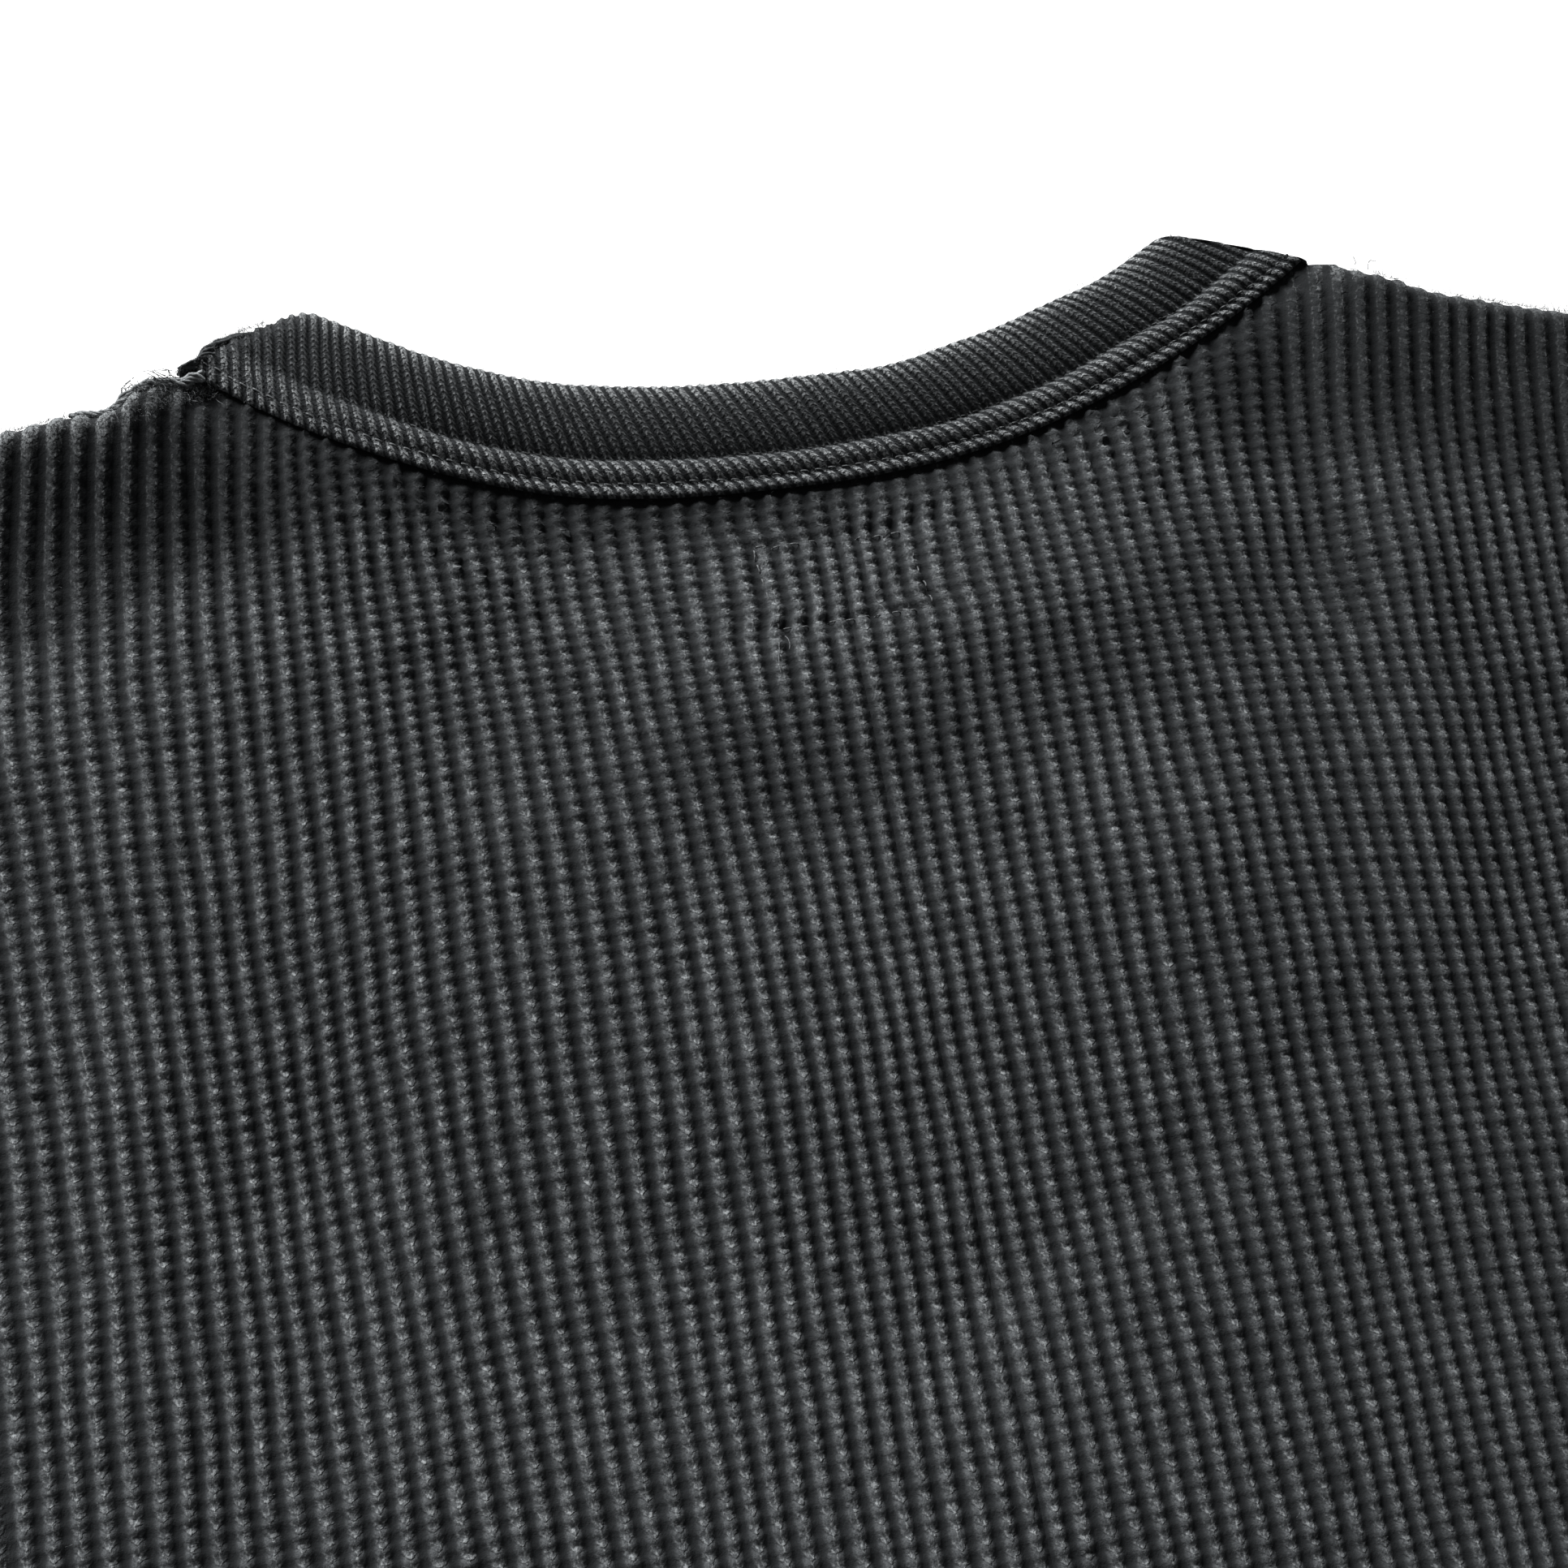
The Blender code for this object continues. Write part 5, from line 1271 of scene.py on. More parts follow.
def threads(name, paths, radius, sides, taper=1.0):
    """One mesh of thin tubes along paths of equal point counts. taper thins their far ends."""
    paths = np.array(paths)
    lowest = np.asarray(radius, float).reshape(-1, 1) + FIBRE_CLEARANCE
    paths[..., 2] = np.maximum(paths[..., 2], lowest)
    tangent = unit(np.gradient(paths, axis=1))
    steep = np.abs(tangent[..., 2:]) > 0.8
    beside = unit(np.cross(tangent, np.where(steep, (1.0, 0.0, 0.0), (0.0, 0.0, 1.0))))
    over = np.cross(beside, tangent)
    angle = np.arange(sides) * 2.0 * math.pi / sides
    thick = np.broadcast_to(np.asarray(radius, float).reshape(-1, 1, 1, 1), (len(paths), 1, 1, 1))
    thick = thick * np.linspace(1.0, taper, paths.shape[1])[None, :, None, None]
    ring = np.cos(angle)[:, None] * beside[:, :, None] + np.sin(angle)[:, None] * over[:, :, None]
    points = paths[:, :, None] + ring * thick
    count, steps = paths.shape[:2]
    index = np.arange(count * steps * sides).reshape(count, steps, sides)
    closed = np.concatenate((index, index[:, :, :1]), axis=2)
    a, b = closed[:, :-1, :-1], closed[:, 1:, :-1]
    c, d = closed[:, 1:, 1:], closed[:, :-1, 1:]
    faces = np.stack((a, d, c, b), axis=-1).reshape(-1, 4).tolist()
    faces += index[:, 0].tolist() + index[:, -1, ::-1].tolist()
    knit = np.broadcast_to(np.arange(steps)[None, :, None, None], (count, steps, sides, 1))
    knit = np.concatenate((knit, np.broadcast_to(angle[:, None], knit.shape)), axis=-1)
    return make_piece(
        name, points.reshape(-1, 3), faces, knit.reshape(-1, 2), sharp=math.radians(80), closed=False
    )


def on_back(x, y, lift):
    """Points at a height over the ground of the back panel's knit."""
    x, y = np.broadcast_arrays(np.asarray(x, float), np.asarray(y, float))
    return np.stack((x, y, back_outside(x, y, upper_edge(x, True)) + lift), axis=-1)


def arch(steps, flat=0.35):
    """0 at both ends of a stitch, 1 along its middle."""
    return np.sin(np.linspace(0.0, math.pi, steps)) ** flat

# %% Two-needle stitching of the collar
COLLAR_STITCH, COLLAR_STITCH_LENGTH, THREAD = 0.00235, 0.0017, 0.00013
STITCH_ALONG, STITCH_UP, STITCH_SLANT, STITCH_OUT = 0.00008, 0.00010, 0.00012, 0.00006  # uneven by


def collar_stitches(name, up, low, high, seed):
    """One row of stitches round the ring, this far up its section."""
    count = round(RING_LENGTH / COLLAR_STITCH)
    draw = np.random.default_rng(seed)
    start = np.arange(count) * RING_LENGTH / count + draw.normal(0.0, STITCH_ALONG, count)
    run = np.linspace(-0.5, 0.5, 6) * COLLAR_STITCH_LENGTH
    stations = start[:, None] + run[None, :]
    rise = up + draw.normal(0.0, STITCH_UP, count)[:, None] + STITCH_SLANT * run / run[-1]
    uneven = draw.normal(0.0, STITCH_OUT, count)[:, None]
    out = between(low, high, arch(len(run)))[None, :] + uneven
    return threads(name, ring_points(stations, rise, out), THREAD, 6)


COLLAR_SEWING = [
    collar_stitches("collar_stitches_lower", 0.0024, 0.0016, 0.00250, 41),
    collar_stitches("collar_stitches_upper", 0.0070, 0.0006, 0.00125, 42),
]

# %% [markdown]
# The label that was once sewn inside the neck leaves its mark outside: a small rectangle of
# stitches that pull the ribs together and sink into them. Only the stitching is made, and the
# gathered ribs were already part of the sway of the knit.

# %% Label stitching and hem stitching
LABEL_STITCH, LABEL_STITCH_LENGTH, LABEL_THREAD = 0.0027, 0.0019, 0.00013
HEM_STITCH, HEM_STITCH_LENGTH, HEM_THREAD, HEM_NEEDLES = 0.0031, 0.0025, 0.00017, 0.0048


def stitches_along(corners, pitch, length, lift, dip, seed, closed=False):
    """Paths of stitches along straight runs between corners on the back."""
    draw = np.random.default_rng(seed)
    corners = np.array(corners)
    ends = np.roll(corners, -1, axis=0) if closed else corners[1:]
    paths = []
    for a, b in zip(corners, ends):
        distance = float(np.linalg.norm(b - a))
        count = max(1, round(distance / pitch))
        way = (b - a) / distance
        aside = np.array((-way[1], way[0]))
        for middle in (np.arange(count) + 0.5) * distance / count:
            run = np.linspace(-0.5, 0.5, 6) * length * draw.uniform(0.85, 1.1)
            off = draw.normal(0.0, 0.00012) + 0.00015 * draw.normal() * run / length
            plan = a + (middle + run)[:, None] * way + np.broadcast_to(off, run.shape)[:, None] * aside
            paths.append(on_back(plan[:, 0], plan[:, 1], between(dip, lift, arch(len(run)))))
    return paths


LABEL_CORNERS = np.array(LABEL_MIDDLE) + np.array(LABEL_HALF) * ((-1, 1), (1, 1), (1, -1), (-1, -1))
LABEL_CORNERS += ((0.0, 0.0), (-0.0012, -0.0009), (0.0008, 0.0), (0.0014, -0.0004))  # sewn by eye
LABEL_PATHS = stitches_along(
    LABEL_CORNERS, LABEL_STITCH, LABEL_STITCH_LENGTH, 0.00062, -0.0002, 43, closed=True
)
LABEL_SEWING = threads("label_stitches", LABEL_PATHS, LABEL_THREAD, 6)
HEM_PATHS = []
for above in (HEM_DEPTH, HEM_DEPTH - HEM_NEEDLES):
    level = above - BODY_LENGTH
    ends = ((JOIN_X - CHEST_HALF_WIDTH, level), (CHEST_HALF_WIDTH - JOIN_X, level))
    HEM_PATHS += stitches_along(ends, HEM_STITCH, HEM_STITCH_LENGTH, 0.00095, 0.0002, 44)
HEM_SEWING = threads("hem_stitches", HEM_PATHS, HEM_THREAD, 5)

# %% [markdown]
# ## Loose ends
#
# A few thread ends hang out of the seams at both shoulders and at one corner of the label. Each
# could be drawn by hand as a curve. Here a row of numbers says where a lot of them starts, which
# way it heads and how much it curls, and one function draws the lot.

# %% Thread ends
ENDS_PAST_EDGE, ENDS_ON_CLOTH = 0.0006, 0.0015
LOOSE_ROWS = (
    # place, lift, heading, length, bend, count, spread, seed: three lots at the left shoulder
    ((-0.0985, -0.0022), 0.0011, 2.4, 0.0036, 2.0, 16, 0.0010, 51),
    ((-0.1020, -0.0040), 0.0011, 2.0, 0.0030, 2.4, 18, 0.0016, 52),
    ((-0.1060, -0.0062), 0.0011, 1.8, 0.0026, 2.4, 12, 0.0018, 53),
    ((0.1030, -0.0045), 0.0011, 0.9, 0.0022, 1.8, 6, 0.0014, 54),  # at the right one
    (LABEL_CORNERS[3] + (-0.0006, -0.0010), 0.0013, -0.2, 0.0060, 1.6, 2, 0.0005, 55),
)


def curls(root, lift, heading, length, bend, count, spread, seed, steps=9):
    """Curved thread ends that start near one point of the plan and lie on the cloth."""
    draw = np.random.default_rng(seed)
    paths = []
    for _ in range(count):
        size = length * draw.uniform(0.5, 1.2)
        angle = heading + draw.normal(0.0, 0.5) + np.cumsum(
            np.full(steps, draw.normal(0.0, bend) / steps) + draw.normal(0.0, 0.12, steps)
        )
        way = np.stack((np.cos(angle), np.sin(angle)), axis=1) * size / steps
        plan = np.array(root) + draw.normal(0.0, spread, 2) + np.cumsum(way, axis=0)
        edge = upper_edge(plan[:, 0], True)
        plan[:, 1] = np.minimum(plan[:, 1], edge + ENDS_PAST_EDGE)
        on_cloth = np.minimum(plan[:, 1], edge - ENDS_ON_CLOTH)
        height = on_back(plan[:, 0], on_cloth, lift)[:, 2]
        height = height + np.abs(np.cumsum(draw.normal(0.00002, 0.00010, steps)))
        paths.append(np.column_stack((plan, height)))
    return paths


LOOSE_ENDS = [path for row in LOOSE_ROWS for path in curls(*row)]
THREAD_ENDS = threads("thread_ends", LOOSE_ENDS, 0.00008, 4, taper=0.7)

# %% [markdown]
# ## Two overlocked seams
#
# The strip of the collar is closed to a ring by an overlocked seam, which comes to lie on the left
# shoulder, and the shoulder seam runs up to it. Overlocking is several threads looped round a cut
# edge, and after washing it is a ragged cord. A tube would look like piping, so each seam is ten
# strands that twist round one core at uneven distances and thin out where they go under.

# %% Join seam of the collar and end of the shoulder seam
JOIN_STEPS, JOIN_STRANDS, JOIN_SIDES = 40, 10, 7
JOIN_FROM, JOIN_TO, JOIN_OUT, JOIN_THICK = -0.0004, 0.0124, 0.0027, 0.00045
JOIN_UP, JOIN_ALONG = (0.0, 0.0070, 0.0185), (0.0010, -0.0019, -0.0108)  # how it slants
JOIN_SINK, SINKS_FROM, SINKS_OVER = 0.0012, 0.0080, 0.0050
# length of a twist, height and length of its shake, least share of the thickness, roughness
JOIN_TWIST, SEAM_TWIST = (0.0021, (0.8, 0.0011), 1.0, 0.00005), (0.0019, (0.9, 0.0012), 0.8, 0.00010)
SHOULDER_SEAM_FROM, SHOULDER_SEAM_TO, SHOULDER_SEAM_THICK = -0.0930, -0.1140, 0.00034
SEAM_IN, SEAM_REST = 0.0014, 0.0024  # in from the edge: the seam, and where its height is taken
SEAM_LIFT, SEAM_SINK = 0.0002, 0.0008
CLIMB, CLIMB_FROM, CLIMB_OVER = 0.0020, -0.0985, 0.0045  # up to the join seam of the collar


def join_station(up):
    """The seam slants across the ring, along its fold over the shoulder."""
    return TURNS[1] + np.interp(up, JOIN_UP, JOIN_ALONG)


def twisted(draw, along, thickness, twist, shake, least, rough):
    """How far each strand lies beside and above the core that it twists round."""
    for strand in range(JOIN_STRANDS):
        turn = 2.0 * math.pi * strand / JOIN_STRANDS + along / twist
        turn = turn + shake[0] * np.sin(along / shake[1] + strand)
        reach = thickness * (least + 0.5 * (strand % 3)) + draw.normal(0.0, rough, JOIN_STEPS)
        yield reach * np.cos(turn), reach * np.sin(turn)


def join_seam():
    """The overlocked seam that closes the ring, on the fold over one shoulder: twisted, frayed."""
    draw = np.random.default_rng(56)
    up = np.linspace(JOIN_FROM, JOIN_TO, JOIN_STEPS)
    uneven = 1.0 + 0.45 * waves(up, up * 0, 57, 0.004)
    thickness = JOIN_THICK * uneven * between(1.3, 0.35, smooth(up / 0.0135))
    sunk = JOIN_SINK * smooth((up - SINKS_FROM) / SINKS_OVER)
    paths = [
        ring_points(join_station(up) + beside, up, JOIN_OUT - sunk + above)
        for beside, above in twisted(draw, up, thickness, *JOIN_TWIST)
    ]
    width = draw.uniform(0.00022, 0.00038, JOIN_STRANDS)
    return threads("collar_join_seam", paths, width, JOIN_SIDES)


def shoulder_seam_end():
    """Where the overlocked shoulder seam runs up to the collar, its stitches ride on the edge."""
    draw = np.random.default_rng(58)
    x = np.linspace(SHOULDER_SEAM_FROM, SHOULDER_SEAM_TO, JOIN_STEPS)
    share = np.linspace(0.0, 1.0, JOIN_STEPS)
    uneven = 1.0 + 0.50 * waves(x, x * 0, 59, 0.005)
    thickness = SHOULDER_SEAM_THICK * uneven * between(1.5, 0.35, share**0.7)
    edge = upper_edge(x, True)
    climb = CLIMB * smooth((x - CLIMB_FROM) / CLIMB_OVER)
    core = on_back(x, edge - SEAM_REST, SEAM_LIFT)[:, 2] - SEAM_SINK * share + climb
    paths = [
        np.stack((x, edge - SEAM_IN + beside, core + above), axis=1)
        for beside, above in twisted(draw, x, thickness, *SEAM_TWIST)
    ]
    width = draw.uniform(0.00020, 0.00034, JOIN_STRANDS)
    return threads("shoulder_seam_end", paths, width, JOIN_SIDES)


JOIN_SEAM, SHOULDER_SEAM_END = join_seam(), shoulder_seam_end()

# %% [markdown]
# ## Fuzz
#
# Garment-dyed cotton is rubbed and washed, so short fibres stand up along its folds and catch the
# light along every edge. A particle system could grow them, but a mesh of thin three-sided fibres
# is the same in every render, and each root is placed by the functions that made the cloth.

# %% Fibres
FIBRE_LEAN, FIBRE_BEND, FIBRE_LOWEST = 0.75, 0.9, 0.0003
COLLAR_FIBRES, FOLD_FIBRES, FOLD_ZONE, FACE_ZONE = 5200, 3000, (0.0165, 0.0197), (0.0006, 0.0165)
BACK_FIBRES, BACK_REACH, BACK_DEPTHS = 9000, 0.150, (0.004, 0.210)
EDGE_FIBRES, EDGE_FROM, EDGE_DEPTH = 2600, 0.098, 0.0045  # along the rubbed shoulder edge
CORNER_FIBRES, CORNER_ZONE = 700, (-0.108, -0.0965)  # and on the lump by the collar
FUZZ_LIFT, FUZZ_LENGTH, EDGE_FUZZ_LENGTH = 0.0008, 0.0006, 0.0009
FIBRE, EDGE_FIBRE = 0.000028, 0.000045  # radii
JOIN_FIBRES, JOIN_RADIUS = 1100, 0.0007


def fuzz(name, roots, outward, length, radius, seed, steps=4):
    """Short bent fibres that stand on the cloth at their roots."""
    draw = np.random.default_rng(seed)
    count = len(roots)
    lean = unit(outward + draw.normal(0.0, FIBRE_LEAN, (count, 3)))
    bend = draw.normal(0.0, FIBRE_BEND, (count, 3))
    along = np.linspace(0.0, 1.0, steps)[None, :, None]
    size = (length * draw.uniform(0.35, 1.3, count) ** 1.5)[:, None, None]
    paths = roots[:, None] + size * (lean[:, None] * along + 0.5 * bend[:, None] * along**2)
    paths[..., 2] = np.maximum(paths[..., 2], FIBRE_LOWEST)
    return threads(name, paths, radius * draw.uniform(0.6, 1.2, count), 3, taper=0.5)

# %% Fuzz of the collar, the back and the join seam
def collar_fuzz():
    """Fibres on the collar's outside, more of them along its fold."""
    draw = np.random.default_rng(61)
    stations = draw.uniform(TURNS[0] - 0.010, TURNS[1] + 0.010, COLLAR_FIBRES)
    on_fold, on_face = (draw.uniform(*zone, COLLAR_FIBRES) for zone in (FOLD_ZONE, FACE_ZONE))
    up = np.where(np.arange(COLLAR_FIBRES) < FOLD_FIBRES, on_fold, on_face)
    section = np.array(COLLAR_SECTION)
    face = section[1 : np.argmax(section[:, 0]) + 1]

    def on_collar(stations, up):
        out = np.interp(up, face[:, 0], face[:, 1]) + collar_lift(stations, up)
        return ring_points(stations, up, pulled_flat(stations, up, out) + TRIM_RISE * 0.5)

    roots, above = on_collar(stations, up), on_collar(stations, up + 0.0004)
    beside = on_collar(stations + 0.0004, up)
    outward = np.cross(beside - roots, above - roots)
    outward /= np.linalg.norm(outward, axis=1, keepdims=True) + 1e-12
    outward *= np.sign(outward[:, 2:] + 1e-9)
    return fuzz("collar_fuzz", roots, outward, 0.0007, FIBRE, 62)


def back_fuzz():
    """Fibres on the ribs of the back, and longer ones along its shoulder edges."""
    draw = np.random.default_rng(63)
    x = draw.uniform(-BACK_REACH, BACK_REACH, BACK_FIBRES)
    at_edge = np.arange(BACK_FIBRES) < EDGE_FIBRES
    x[at_edge] = np.sign(x[at_edge]) * draw.uniform(EDGE_FROM, BACK_REACH, EDGE_FIBRES)
    x[:CORNER_FIBRES] = draw.uniform(*CORNER_ZONE, CORNER_FIBRES)
    top = upper_edge(x, True)
    depth = draw.uniform(*BACK_DEPTHS, BACK_FIBRES)
    depth[at_edge] = draw.uniform(0.0, EDGE_DEPTH, EDGE_FIBRES)
    u = np.round(x / WAFFLE_PITCH) + draw.normal(0.0, 0.13, BACK_FIBRES)
    u = np.where(at_edge, x / WAFFLE_PITCH, u)
    x, y = sway(u * WAFFLE_PITCH, top - depth)
    y = np.minimum(y, upper_edge(x, True) - 0.0001)
    roots = on_back(x, y, FUZZ_LIFT)
    slope_x = (on_back(x + SLOPE_STEP, y, FUZZ_LIFT)[:, 2] - roots[:, 2]) / SLOPE_STEP
    slope_y = (roots[:, 2] - on_back(x, y - SLOPE_STEP, FUZZ_LIFT)[:, 2]) / SLOPE_STEP
    outward = unit(np.stack((-slope_x, -slope_y, np.ones(len(x))), axis=1))
    length = np.where(at_edge, EDGE_FUZZ_LENGTH, FUZZ_LENGTH)
    return fuzz("back_fuzz", roots, outward, length, np.where(at_edge, EDGE_FIBRE, FIBRE), 64)


def join_fuzz():
    """The frayed fibres all round the join seam of the collar."""
    draw = np.random.default_rng(65)
    around = draw.uniform(0.0, 2.0 * math.pi, JOIN_FIBRES)
    up = draw.uniform(JOIN_FROM - 0.0004, JOIN_TO + 0.0010, JOIN_FIBRES)
    stations = join_station(up) + JOIN_RADIUS * np.cos(around)
    roots = ring_points(stations, up, JOIN_OUT + JOIN_RADIUS * np.sin(around))
    outward = unit(roots - ring_points(join_station(up), up, JOIN_OUT))
    return fuzz("collar_join_fuzz", roots, outward, 0.0007, 0.000040, 66)


COLLAR_FUZZ, BACK_FUZZ, JOIN_FUZZ = collar_fuzz(), back_fuzz(), join_fuzz()

# %% [markdown]
# ## Shader groups
#
# The finishes share a few effects, and each is one node group with named inputs and outputs: the
# cell of the waffle, the rib of the trim, the yarn that both are knitted from, and the dye, which
# also paints shade and highlights into the colour. A group is built once and placed in each
# material with that material's own values, so a change to the yarn reaches the body, the collar
# and the cuffs together. All of them read the knit coordinates or the place on the cloth, never
# where the viewer stands.

# %% Node helpers
SOCKETS = {type(None): "NodeSocketVector", float: "NodeSocketFloat", tuple: "NodeSocketColor"}


def new_group(name, takes, gives):
    """A shader node group with named sockets, and its two ends. A place has no value yet."""
    group = bpy.data.node_groups.new(name, "ShaderNodeTree")
    for title, value in takes.items():
        kind = SOCKETS[type(value)]
        socket = group.interface.new_socket(title, in_out="INPUT", socket_type=kind)
        if value is not None:
            socket.default_value = value
    for title in gives:
        kind = SOCKETS[tuple if title == "Color" else float]
        group.interface.new_socket(title, in_out="OUTPUT", socket_type=kind)
    start, end = group.nodes.new("NodeGroupInput"), group.nodes.new("NodeGroupOutput")
    return group, start.outputs, end.inputs


def feed(tree, socket, value):
    """Links a value from another node, or sets it."""
    if isinstance(value, bpy.types.NodeSocket):
        tree.links.new(value, socket)
    else:
        socket.default_value = value


def node_with(tree, kind, inputs, **settings):
    """The outputs of a new node, with its settings made and its inputs fed."""
    node = tree.nodes.new(kind)
    for title, value in settings.items():
        setattr(node, title, value)
    for title, value in inputs.items():
        feed(tree, node.inputs[title], value)
    return node.outputs

# %% Small nodes
def maths(tree, operation, *values, clamp=False):
    inputs = dict(enumerate(values))
    return node_with(tree, "ShaderNodeMath", inputs, operation=operation, use_clamp=clamp)[0]


def times(tree, first, second):
    return maths(tree, "MULTIPLY", first, second)


def times_plus(tree, value, factor, added):
    return maths(tree, "MULTIPLY_ADD", value, factor, added)


def ramp(tree, value, low, high, to_low=0.0, to_high=1.0):
    """A smooth step from one value to another."""
    inputs = {"Value": value, "From Min": low, "From Max": high, "To Min": to_low, "To Max": to_high}
    return node_with(tree, "ShaderNodeMapRange", inputs, interpolation_type="SMOOTHSTEP")["Result"]


def noise(tree, place, scale, detail=2.0, rough=0.55):
    inputs = {"Vector": place, "Scale": scale, "Detail": detail, "Roughness": rough}
    return node_with(tree, "ShaderNodeTexNoise", inputs)["Fac"]


def mixed(tree, share, first, second):
    inputs = {"Factor": share, "A": first, "B": second}
    return node_with(tree, "ShaderNodeMix", inputs, data_type="RGBA")["Result"]


def parts_of(tree, vector):
    return node_with(tree, "ShaderNodeSeparateXYZ", {0: vector})[:2]


def stretched(tree, vector, amounts):
    return node_with(tree, "ShaderNodeVectorMath", {0: vector, 1: amounts}, operation="MULTIPLY")[0]


def off_middle(tree, value):
    """Distance to the nearest whole number."""
    return maths(tree, "ABSOLUTE", maths(tree, "SUBTRACT", value, maths(tree, "ROUND", value)))


def placed_group(tree, group, **values):
    return node_with(tree, "ShaderNodeGroup", values, node_tree=group)


# %% The cell of the waffle and the rib of the trim
def waffle_cell_group():
    """Height of the waffle's cell, 0 in its pit and 1 on its bead."""
    group, start, end = new_group("waffle cell", {"Knit": None, "Pulled": 0.0}, ["Height"])
    across, along = parts_of(group, start["Knit"])
    wave = maths(group, "COSINE", times(group, along, 2.0 * math.pi))
    bead = times_plus(group, wave, 0.5, 0.5)
    rib = ramp(group, off_middle(group, across), RIB_FOOT, RIB_FOOT - RIB_SIDE)
    depth = times_plus(group, start["Pulled"], -BEAD_DIP * PULLED_DIP, BEAD_DIP)
    between_beads = maths(group, "SUBTRACT", 1.0, bead)
    dip = maths(group, "SUBTRACT", 1.0, times(group, depth, between_beads))
    bridge = times(group, bead, BRIDGE_RISE / RIB_RISE)
    bridge = times(group, bridge, maths(group, "SUBTRACT", 1.0, rib))
    feed(group, end["Height"], times_plus(group, rib, dip, bridge))
    return group


def trim_rib_group():
    """Height of a rib of the trim, 0 in its groove and 1 on its crest. It takes what the cell takes."""
    group, start, end = new_group("trim rib", {"Knit": None, "Pulled": 0.0}, ["Height"])
    across, _ = parts_of(group, start["Knit"])
    unrest = noise(group, start["Knit"], 1.6, 3.0, 0.75)
    across = maths(group, "ADD", across, times_plus(group, unrest, 0.44, -0.22))
    off = off_middle(group, across)
    notch = times(group, ramp(group, off, 0.13, 0.03), 0.50)
    feed(group, end["Height"], maths(group, "SUBTRACT", ramp(group, off, 0.33, 0.19), notch))
    return group

# %% Knitted yarn
def yarn_group():
    """Knit stitches on a rib: slanting yarns that meet in a V, and their frayed fibres."""
    takes = {"Knit": None, "Stitches": 1.0, "Slant": 1.0, "Fray": 4.0, "Reach": 0.36, "Line": 1.0}
    takes |= {"Loose": 0.0, "Pulled": 0.0}
    group, start, end = new_group("knitted yarn", takes, ["Height", "Gleam", "Stitch"])
    across, along = parts_of(group, start["Knit"])
    wander = noise(group, stretched(group, start["Knit"], (1.7, 1.7, 1.0)), 1.5, 2.0)
    shift = times_plus(group, wander, 0.22, across)
    off = off_middle(group, maths(group, "SUBTRACT", shift, 0.14))
    count = times(group, along, start["Stitches"])
    count = times_plus(group, off, start["Slant"], count)
    count = times_plus(group, wander, 0.5, count)
    wave = maths(group, "COSINE", times(group, count, 2.0 * math.pi))
    inner = maths(group, "SUBTRACT", start["Reach"], 0.20)
    arms = times(group, ramp(group, wave, 0.0, 0.95), ramp(group, off, start["Reach"], inner))
    line = times(group, ramp(group, off, 0.085, 0.02), start["Line"])
    beside = maths(group, "ABSOLUTE", maths(group, "SUBTRACT", off_middle(group, shift), 0.17))
    pair = times(group, ramp(group, beside, 0.065, 0.02), start["Pulled"])
    line = maths(group, "MAXIMUM", line, times(group, pair, 2.4))
    fibres = noise(group, stretched(group, start["Knit"], (2.4, 1.0, 1.0)), start["Fray"], 3.0, 0.68)
    broken = ramp(group, fibres, 0.45, 0.61)
    lit = maths(group, "MAXIMUM", maths(group, "MAXIMUM", arms, line), start["Loose"])
    # the light lines on the yarns' crests, partly rubbed yarn and partly painted highlight
    gleam = times(group, lit, broken)
    height = times_plus(group, fibres, 0.7, times(group, arms, 0.5))
    feed(group, end["Height"], height)
    feed(group, end["Gleam"], gleam)
    feed(group, end["Stitch"], ramp(group, wave, -0.9, 0.5))
    return group

# %% Garment dye and painted shade
CLOUDS, PATCHES, LINT = 22.0, 260.0, 2600.0  # per metre: over a hand, a few beads, a fibre
# painted shade: the near black colour that the shade mask mixes in
PAINTED_SHADE_COLOUR = (0.0030, 0.0034, 0.0038, 1.0)


